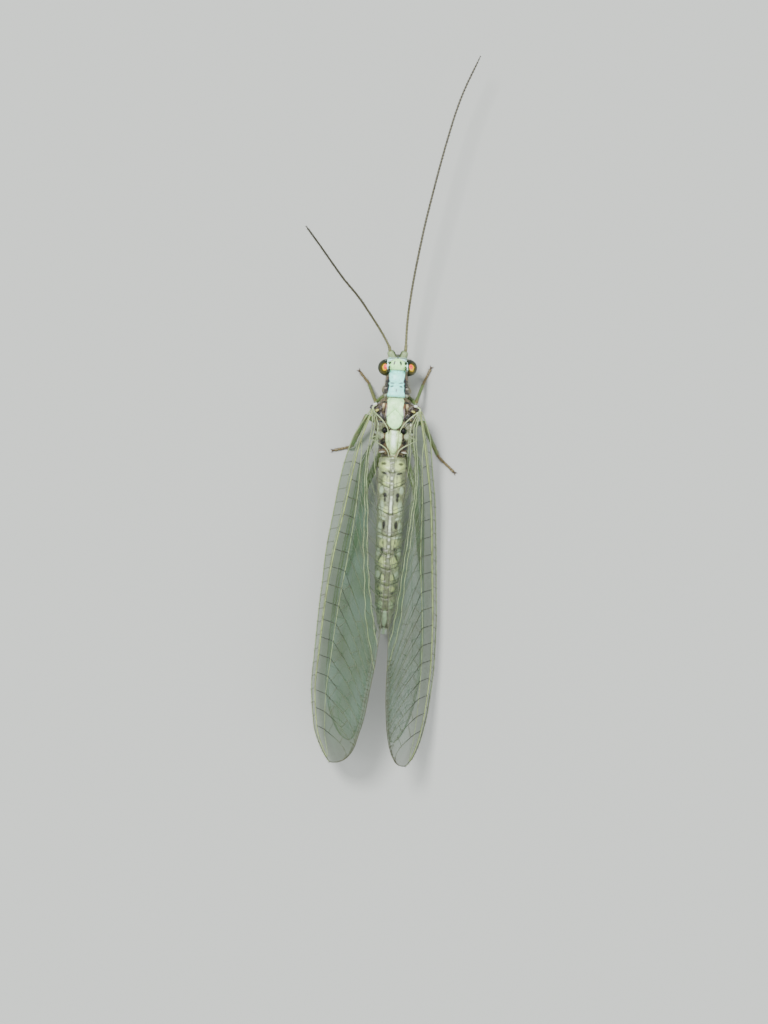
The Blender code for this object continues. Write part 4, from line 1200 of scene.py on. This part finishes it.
def vein_plan(edges, length, fine):
    """The veins of a wing, for its length in millimetres. Fine below 1 draws the net a little wider.

    Each has its shares, reaches, thickness at both ends, colour and how dark its first part is.
    """
    plan = []

    def ladder_part(share):
        _, main, last = edges(share)
        return np.minimum(LADDER_REACH(share) * fine / np.maximum(last - main, 1e-6), 0.8)

    def add(shares, parts, start, end, colour, dark=0.0):
        """A vein through places. A part of -1 is the front edge, 0 the main vein and 1 the back edge."""
        steps = max(4, int(np.hypot(np.ptp(shares) * length, np.ptp(parts) * USUAL_WIDTH) / VEIN_STEP))
        way, at = np.linspace(0, 1, steps), np.linspace(0, 1, len(shares))
        share, part = (smooth(list(zip(at, values)))(way) for values in (shares, parts))
        first, main, last = edges(share)
        reach = np.where(part < 0, main + (first - main) * -part, main + (last - main) * part)
        plan.append((share, reach, start, end, colour, dark))

    def fork(share, part, ends):
        for end in ends:
            add([share, end], [part, 1.0], 0.008, 0.007, FAINT_VEIN)

    # First the long veins. The edges turn sharply at the tip, so their points crowd together there.
    even, ones = np.linspace(0, 1, LONG_COUNT), np.ones(LONG_COUNT)
    to_tip = 0.9995 * (1 - (1 - even) ** 2)
    ladder, upper, lower = 0.085 + even * 0.9, 0.02 + even * 0.71, 0.03 + even * 0.64
    for shares, parts, start, end, colour in (
        (to_tip, -ones, 0.024, 0.018, PALE_VEIN), (0.11 + 0.89 * to_tip, ones, 0.009, 0.017, MARGIN),
        ([0.9995, 0.9996, 0.9995], [-1.0, 0.0, 1.0], 0.018, 0.017, MARGIN),
        (0.66 + 0.333 * to_tip, 0.955 * ones, 0.007, 0.013, MARGIN),
        (0.8 + 0.193 * to_tip, -0.8 * ones, 0.007, 0.013, MARGIN),
        (even * 0.93, -0.26 * (1 - 0.6 * even), 0.018, 0.012, PALE_VEIN),
        (even * 0.985, 0 * even, 0.034, 0.02, MAIN_VEIN),
        (ladder, ladder_part(ladder), 0.019, 0.011, PALE_VEIN),
        (upper, UPPER_LINE(upper) + 0.008 * np.sin(even * 70), 0.02, 0.012, PALE_VEIN),
        (lower, LOWER_LINE(lower) + 0.008 * np.sin(even * 66), 0.019, 0.012, PALE_VEIN),
        ([0.0, 0.02, 0.05], [0.15, 0.24, 0.36], 0.021, 0.02, PALE_VEIN),
        ([0.0, 0.015, 0.035], [0.35, 0.42, 0.47], 0.02, 0.019, PALE_VEIN),
        ([0.0, 0.06, 0.13], [0.55, 0.72, 1.0], 0.018, 0.012, PALE_VEIN),
        ([0.03, 0.1, 0.19], [0.62, 0.78, 1.0], 0.017, 0.012, PALE_VEIN),
    ):
        add(shares, parts, start, end, colour)
    for share in np.arange(0.035, 0.9, 0.038 / fine):
        add([share, share + 0.006], [-0.24 * (1 - 0.6 * share), -1.0], 0.011, 0.01, FAINT_VEIN, 0.9)

    # Then the dark rungs of the ladder, each with a branch that starts where the rung ends.
    branches = []
    for share in np.arange(0.16, 0.95, 0.05 / fine):
        start = float(ladder_part(share))
        add([share - 0.01, share], [0.0, start], 0.013, 0.015, DARK_VEIN, 1.0)
        if share < 0.46:
            end = share + 0.115
            stop = float(UPPER_LINE(end))
        else:
            end = min(share + 0.22 * (1 - share) / 0.54 + 0.04, 0.992)
            stop = 1.0
        long, wide = end - share, stop - start
        way, parts = [share, share + long * 0.42, end], [start, start + wide * 0.45, stop]
        branches.append((way, parts))
        if stop < 1:
            add(way, parts, 0.012, 0.009, FAINT_VEIN, 0.9)
        else:
            split, split_part = share + long * 0.8, start + wide * 0.8
            add(way[:2] + [split], parts[:2] + [split_part], 0.015, 0.009, FAINT_VEIN, 0.85)
            fork(split, split_part, [min(end + spread, 0.996) for spread in (-0.01, 0.014)])
    # Short forks crowd along the tip, between the inner margin line and the margin.
    for share in np.arange(0.7, 0.985, 0.012 / fine):
        add([share, min(share + 0.006, 0.995)], [0.9, 1.0], 0.008, 0.008, MARGIN)
    # Crossveins join each branch to the next.
    for (way, parts), (next_way, next_parts) in zip(branches, branches[1:]):
        here, beyond = smooth(list(zip(parts, way))), smooth(list(zip(next_parts, next_way)))
        for row in (0.36,) if parts[2] < 1 else (0.4, 0.68):
            low = row - 0.12
            if parts[0] < row < parts[2] and next_parts[0] < low < next_parts[2]:
                add([here(row), beyond(low)], [row, low], 0.01, 0.01, FAINT_VEIN, 0.5)
    for share in np.arange(0.1, 0.62, 0.058 / fine):
        end = share + 0.022
        add([share, end], [UPPER_LINE(share), LOWER_LINE(end)], 0.011, 0.011, FAINT_VEIN, 0.5)
    for share in np.arange(0.1, 0.62, 0.05 / fine):
        start = float(LOWER_LINE(share))
        if start < 0.93:
            middle = (start + 1) / 2 + 0.05
            add([share, share + 0.028], [start, middle], 0.01, 0.008, FAINT_VEIN, 0.4)
            fork(share + 0.028, middle, [share + 0.05 + spread for spread in (-0.009, 0.012)])
    return plan


plans = {"forewing": vein_plan(forewing_edges, 14.15, 1.0), "hindwing": vein_plan(hindwing_edges, 12.0, 0.9)}
print({name: len(plan) for name, plan in plans.items()}, "veins")

# %% [markdown]
# Each vein of the plan becomes a thin tube that follows the folded sheet.
# Lines painted on the sheet would vanish from the side, while real veins stand out above and below it.
# The hindwings' veins are finer and hazier, because they are seen through the forewings.

# %% The veins as tubes
vein_paths = {}
for wing_name, plan in plans.items():
    kind, edges = WINGS[wing_name]
    weight = 1.0 if wing_name == "forewing" else 0.7
    for side, pose in POSES.items():
        net = Bundle()
        paths = []
        for share, reach, start, end, colour, dark in plan:
            path = wing_surface(kind, pose, edges, share, reach)
            way = np.linspace(0, 1, len(path))
            thickness = (start + (end - start) * way) * weight
            darkening = dark * weight * (1 if dark >= 1 else soft_step(0.5, 0.15, way))
            tint = np.tile(colour, (len(path), 1))
            for new, amount in ((DARK_VEIN, np.broadcast_to(darkening, len(path))),
                                (HAZE, np.full(len(path), 1 - weight)),
                                (paint(0.32, 0.33, 0.2), 0.5 * soft_step(0.0, 0.7, noise(path, 0.22, 71)))):
                tint = blend(tint, new, amount)
            sides = 8 if start > 0.03 else 6
            net.add(tube(path, thickness, sides), ring_tint(tint, sides))
            paths.append((path, thickness))
        net.make("%s_veins_%s" % (wing_name, side), vein_finish, "wing_membrane")
        vein_paths[wing_name, side] = paths

# %% [markdown]
# Where the wings join the body, pale cords run from the wing roots to the plates on the back.
# Between them lie two gaps, filled with shiny black balls of painted shade. The cords are small hard parts
# and stay separate pieces, as on the animal, and so do the balls.

# %% Cords and black spots at the wing roots
def cord_rows(root):
    """The cords of one side: their places and thickness. Two of them start at the forewing's root."""
    return (
        ([(root, 2.08, 2.1), (0.8, 2.24, 2.12), (0.56, 2.45, 2.1), (0.38, 2.66, 2.06), (0.27, 2.84, 1.99),
          (0.23, 3.02, 1.9), (0.24, 3.2, 1.74)], 0.028),
        ([(0.93, 3.26, 1.9), (0.7, 3.4, 1.88), (0.44, 3.54, 1.86), (0.25, 3.7, 1.79), (0.16, 3.92, 1.72),
          (0.13, 4.12, 1.58)], 0.024),
        ([(root, 2.12, 2.1), (root - 0.02, 2.0, 2.06), (root - 0.14, 1.93, 1.98)], 0.04),
        ([(0.93, 3.26, 1.9), (0.8, 3.2, 1.82), (0.66, 3.18, 1.74)], 0.03),
    )


cords, spots = Bundle(), Bundle()
for pose in POSES.values():
    for points, thickness in cord_rows(pose["vein_out"](2.1)):
        path, _ = curve_through(np.array(points) * np.array([pose["sign"], 1, 1]), 24)
        cords.add(tube(path, thickness * (1 - 0.35 * np.linspace(0, 1, 24)), 10), paint(0.62, 0.68, 0.5))
# Two black balls of painted shade fill the gaps beside the cords.
spots.both_sides(ball((0.375, 2.91, 1.86), (0.115, 0.12, 0.085)), paint(0.01, 0.01, 0.01))
cords.make("wing_root_cords", vein_finish, "wing_membrane")
spots.make("black_back_spots", gap_shade_finish, "cuticle_side")

# %% [markdown]
# Under the face hang two pairs of jointed palps, and every foot ends in two hooked claws with a pad between.
# They are too fine for the melted skin, so they are tubes of their own.

# %% Palps and claws
# A claw's bend: how far forward, out and up from the end of the foot.
HOOK = [(0, 0, 0), (0.07, 0.04, 0.015), (0.12, 0.065, 0), (0.125, 0.06, -0.05)]
small_parts = Bundle()
for points, thickness in (
    ([(0.15, -0.03, 0.79), (0.27, -0.13, 0.74), (0.31, -0.2, 0.62), (0.28, -0.23, 0.49)], 0.038),
    ([(0.07, 0.02, 0.66), (0.11, -0.08, 0.59), (0.1, -0.12, 0.49)], 0.028),
):
    path, _ = curve_through(points, 33)
    share = np.linspace(0, 1, 33)
    radii = thickness * (1 - 0.35 * share) * (0.82 + 0.18 * np.abs(np.sin(share * math.pi * 4)))
    tint = blend(np.tile(paint(0.7, 0.72, 0.52), (33, 1)), RED_BROWN, 0.8 * bell((share * 4) % 1 - 0.5, 0.3))
    small_parts.both_sides(tube(path, radii, 10), ring_tint(tint, 10))
for _, _, ankle, claws in LEGS.values():
    forward = unit((np.array(claws) - np.array(ankle)) * np.array([1, 1, 0]))
    sideways = np.array([-forward[1], forward[0], 0])
    end = np.array([claws[0], claws[1], FOOT_RADIUS])
    for spread in (-1, 1):
        hook = [end + forward * along + sideways * spread * out_by + [0, 0, up] for along, out_by, up in HOOK]
        path, _ = curve_through(hook, 12)
        small_parts.add(tube(path, np.linspace(0.02, 0.005, 12), 8), paint(0.2, 0.13, 0.08))
    pad = ball(end + forward * 0.06 - [0, 0, 0.025], (0.04, 0.04, 0.025), 0, 12)
    small_parts.add(pad, paint(0.35, 0.29, 0.18))
small_parts.make("palps_and_claws", feeler_finish, "foot_skin", lowest=0.001)

# %% [markdown]
# Fine bristles stand on the body, legs, feelers, veins and wing margins, a tenth of a millimetre long.
# Particle hair would be lost when the model is handed on, so each bristle is a thin bent spike of mesh.
# Each takes the colour of the skin it grows from, and its patch on the OFBake map lies where its root does.

# %% Bristles
PATCH = 0.003


def make_bristles(name, roots, lean, lengths, thickness, tint, places, slot):
    """Bent three-sided spikes. Places are the roots' spots on an unwrap of the skin, from 0 to 1."""
    count = len(roots)
    lean = unit(lean)
    tint = np.broadcast_to(tint, (count, 3))
    guide = np.where(np.abs(lean[:, 2:3]) < 0.9, [[0.0, 0.0, 1.0]], [[1.0, 0.0, 0.0]])
    side = unit(np.cross(lean, guide))
    up = np.cross(lean, side)
    curl = unit(lean + 0.45 * np.array([0.0, 0.9, -0.3]))
    points = np.zeros((count, 7, 3))
    lengths = np.broadcast_to(lengths, count)[:, None]
    for ring, (way, size) in enumerate(((0.0, 1.0), (0.55, 0.7))):
        middle = roots + lean * lengths * way
        for k in range(3):
            angle = FULL_TURN * k / 3
            outward = math.cos(angle) * side + math.sin(angle) * up
            points[:, ring * 3 + k] = middle + thickness * size * outward
    points[:, 6] = roots + lean * lengths * 0.55 + curl * lengths * 0.45
    pattern = [(0, 1, 4, 3), (1, 2, 5, 4), (2, 0, 3, 5), (3, 4, 6), (4, 5, 6), (5, 3, 6)]
    faces = [tuple(7 * i + k for k in face) for i in range(count) for face in pattern]
    piece = make_piece(name, points.reshape(-1, 3), faces, hair_finish, slot, np.repeat(tint, 7, axis=0))
    layer = piece.data.uv_layers.new(name="OFBake")
    corner = np.empty(len(piece.data.loops), int)
    piece.data.loops.foreach_get("vertex_index", corner)
    patch = np.array([(0, 0), (1, 0), (0.5, 1), (0.1, 0.3), (0.9, 0.3), (0.5, 0.8), (0.5, 0.5)]) * PATCH
    layer.data.foreach_set("uv", (places[corner // 7] + patch[corner % 7]).astype(np.float32).ravel())
    print(name, "has", count, "bristles and", count * 9, "triangles")


BODY_COUNT, LEG_COUNT = 3200, 4600
SKIN_BRISTLE, THREAD_BRISTLE = 0.003, 0.004
hairy = on_trunk & (skin[:, 2] > 0.75) & (skin[:, 1] > -0.1)
choices = chance.choice(np.flatnonzero(hairy), BODY_COUNT, replace=False)
roots = skin[choices]
lean = skin_normals[choices] + np.array([0, 0.9, 0]) + chance.normal(0, 0.18, (BODY_COUNT, 3))
lengths = 0.075 + 0.06 * (roots[:, 1] < 1.6) + 0.03 * chance.random(BODY_COUNT)
tint = blend(colours[choices], paint(0.7, 0.68, 0.5), np.full(BODY_COUNT, 0.6))
# On the trunk a root's place on the unwrap is how far round and how far along it is.
places = np.column_stack([0.02 + 0.94 * (trunk_side(roots) + 0.5), 0.02 + 0.94 * (roots[:, 1] + 0.5) / 12])
make_bristles("body_bristles", roots, lean, lengths, SKIN_BRISTLE, tint, places, "cuticle_pale")

choices = chance.choice(np.flatnonzero(on_leg & (skin[:, 2] > 0.05)), LEG_COUNT, replace=False)
roots = skin[choices]
down_leg = np.zeros((LEG_COUNT, 3))
for lines in leg_lines.values():
    for a, b in lines:
        share = np.clip((roots - a) @ (b - a) / np.dot(b - a, b - a), 0, 1)
        near = np.linalg.norm(roots - a - share[:, None] * (b - a), axis=1) < 0.2
        down_leg[near] = unit(b - a)
lean = skin_normals[choices] + 1.3 * down_leg + chance.normal(0, 0.15, (LEG_COUNT, 3))
lengths = 0.06 + 0.04 * chance.random(LEG_COUNT)
tint = blend(colours[choices], paint(0.4, 0.38, 0.24), np.full(LEG_COUNT, 0.6))
places = np.column_stack([0.02 + 0.9 * (leg_joint[choices] + leg_way[choices]) / 3,
                          0.5 + 0.45 * (roots[:, 0] / 2.6)])
make_bristles("leg_bristles", roots, lean, lengths, SKIN_BRISTLE, tint, places, "leg_skin")

# %% [markdown]
# Feelers carry a ring of short bristles at every joint, and the veins a loose row along each side.
# Their roots are picked from the paths of the tubes, which is simpler than picking them from the mesh.

# %% Bristles of feelers and wings
roots, lean, places = [], [], []
for number, (path, radii) in enumerate(feeler_paths.values()):
    along = unit(np.gradient(path, axis=0))
    pick = np.repeat(np.arange(8, len(path) - 2, 5), 7)
    way = unit(np.cross(along[pick], chance.normal(0, 1, (len(pick), 3))))
    roots.append(path[pick] + way * radii[pick][:, None] * 0.9)
    lean.append(way + 1.4 * along[pick])
    places.append(np.column_stack([0.02 + 0.95 * pick / len(path), 0.2 + 0.5 * number + 0.1 * way[:, 0]]))
make_bristles("feeler_bristles", np.vstack(roots), np.vstack(lean), 0.075, THREAD_BRISTLE,
              paint(0.16, 0.13, 0.1), np.vstack(places), "feeler_skin")

BRISTLE_GAP = 0.075
for (wing_name, side), paths in vein_paths.items():
    roots, lean, places = [], [], []
    for path, thickness in paths:
        length = np.linalg.norm(np.diff(path, axis=0), axis=1).sum()
        count = max(2, int(length / BRISTLE_GAP))
        pick = chance.random(count) * (len(path) - 1)
        low = pick.astype(int)
        spot = path[low] + (path[low + 1] - path[low]) * (pick - low)[:, None]
        along = unit(path[low + 1] - path[low])
        way = np.array([0.6 * POSES[side]["sign"], 0, 0.8]) + chance.normal(0, 0.45, (count, 3))
        way = unit(way - along * np.sum(way * along, axis=1)[:, None])
        roots.append(spot + way * thickness.min() * 0.5)
        lean.append(way + 0.9 * along * np.sign(along[:, 1:2] + 1e-9))
        places.append(np.column_stack([0.02 + 0.95 * (spot[:, 1] - 2) / 15,
                                       0.05 + 0.9 * np.clip(np.abs(spot[:, 0]) / 3.2, 0, 1)]))
    roots = np.vstack(roots)
    lengths = 0.085 + 0.04 * chance.random(len(roots))
    make_bristles("%s_bristles_%s" % (wing_name, side), roots, np.vstack(lean), lengths, THREAD_BRISTLE,
                  paint(0.36, 0.36, 0.28), np.vstack(places), "wing_membrane")

# %% [markdown]
# The floor is a plain pale sheet. It is only a stage, so it is kept apart from the animal.
# Soft light from above and a bright sky keep the shadows gentle, as in a studio.

# %% Floor and light
FLOOR = 0.6
floor_mesh = bpy.data.meshes.new("floor")
corners = [(-FLOOR, -FLOOR, 0), (FLOOR, -FLOOR, 0), (FLOOR, FLOOR, 0), (-FLOOR, FLOOR, 0)]
floor_mesh.from_pydata(corners, [], [(0, 1, 2, 3)])
floor_finish = bpy.data.materials.new("pale floor")
floor_finish.use_nodes = True
shader = floor_finish.node_tree.nodes["Principled BSDF"]
shader.inputs["Base Color"].default_value = (*paint(0.66, 0.67, 0.65), 1)
shader.inputs["Roughness"].default_value = 0.8
floor_mesh.materials.append(floor_finish)
floor = put_in_scene("floor", floor_mesh)
floor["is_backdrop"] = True


def add_sun(name, strength, softness, direction):
    light = bpy.data.lights.new(name, "SUN")
    light.energy = strength
    light.angle = math.radians(softness)
    lamp = put_in_scene(name, light)
    lamp.rotation_mode = "QUATERNION"
    lamp.rotation_quaternion = Vector(direction).to_track_quat("-Z", "Y")
    lamp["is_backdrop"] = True


add_sun("key light", 5.2, 14, (-0.3, 0.35, -1.0))
add_sun("fill light", 1.4, 40, (0.8, -0.3, -0.9))
world = bpy.data.worlds.new("studio")
world.use_nodes = True
sky = world.node_tree.nodes["Background"]
sky.inputs["Color"].default_value = (0.92, 0.96, 1.0, 1)
sky.inputs["Strength"].default_value = 0.95
bpy.context.scene.world = world
print("lights:", [light.name for light in bpy.data.lights])

# %% [markdown]
# The camera hangs straight over the animal and looks down, with the head towards the top of the picture.
# A long lens from far off gives the flat view of a close-up photograph.

# %% The camera
camera_data = bpy.data.cameras.new("camera")
camera_data.lens = 200
camera_data.sensor_width = 36
camera_data.clip_start = 0.001
camera_data.clip_end = 10
camera = put_in_scene("camera", camera_data)
camera.location = (-0.37 * MM, 4.18 * MM, 229.1 * MM)
# The picture is turned by 3 degrees, because the animal sat a little askew in it.
camera.rotation_euler = (0, 0, math.radians(180 + 3.09))
bpy.context.scene.camera = camera
print("the camera is", camera.location.z / MM, "mm above the floor")

# %% [markdown]
# Last, the whole model is measured and set beside the solids it dresses, because a slip in scale is easy
# to miss by eye. The two boxes should agree to a few tenths of a millimetre.

# %% Check the size
low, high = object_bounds()
meshes = {piece.name: len(piece.data.loops) - 2 * len(piece.data.polygons) for piece in bpy.data.objects
          if piece.type == "MESH" and piece.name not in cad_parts}
most = max(meshes, key=meshes.get)
print("triangles:", sum(meshes.values()), "in all, the most in", most, meshes[most])
for name, (start, end) in (("size", (low, high)), ("frame", (frame_low, frame_high))):
    print(name, "in mm:", [round((b - a) / MM, 2) for a, b in zip(start, end)])
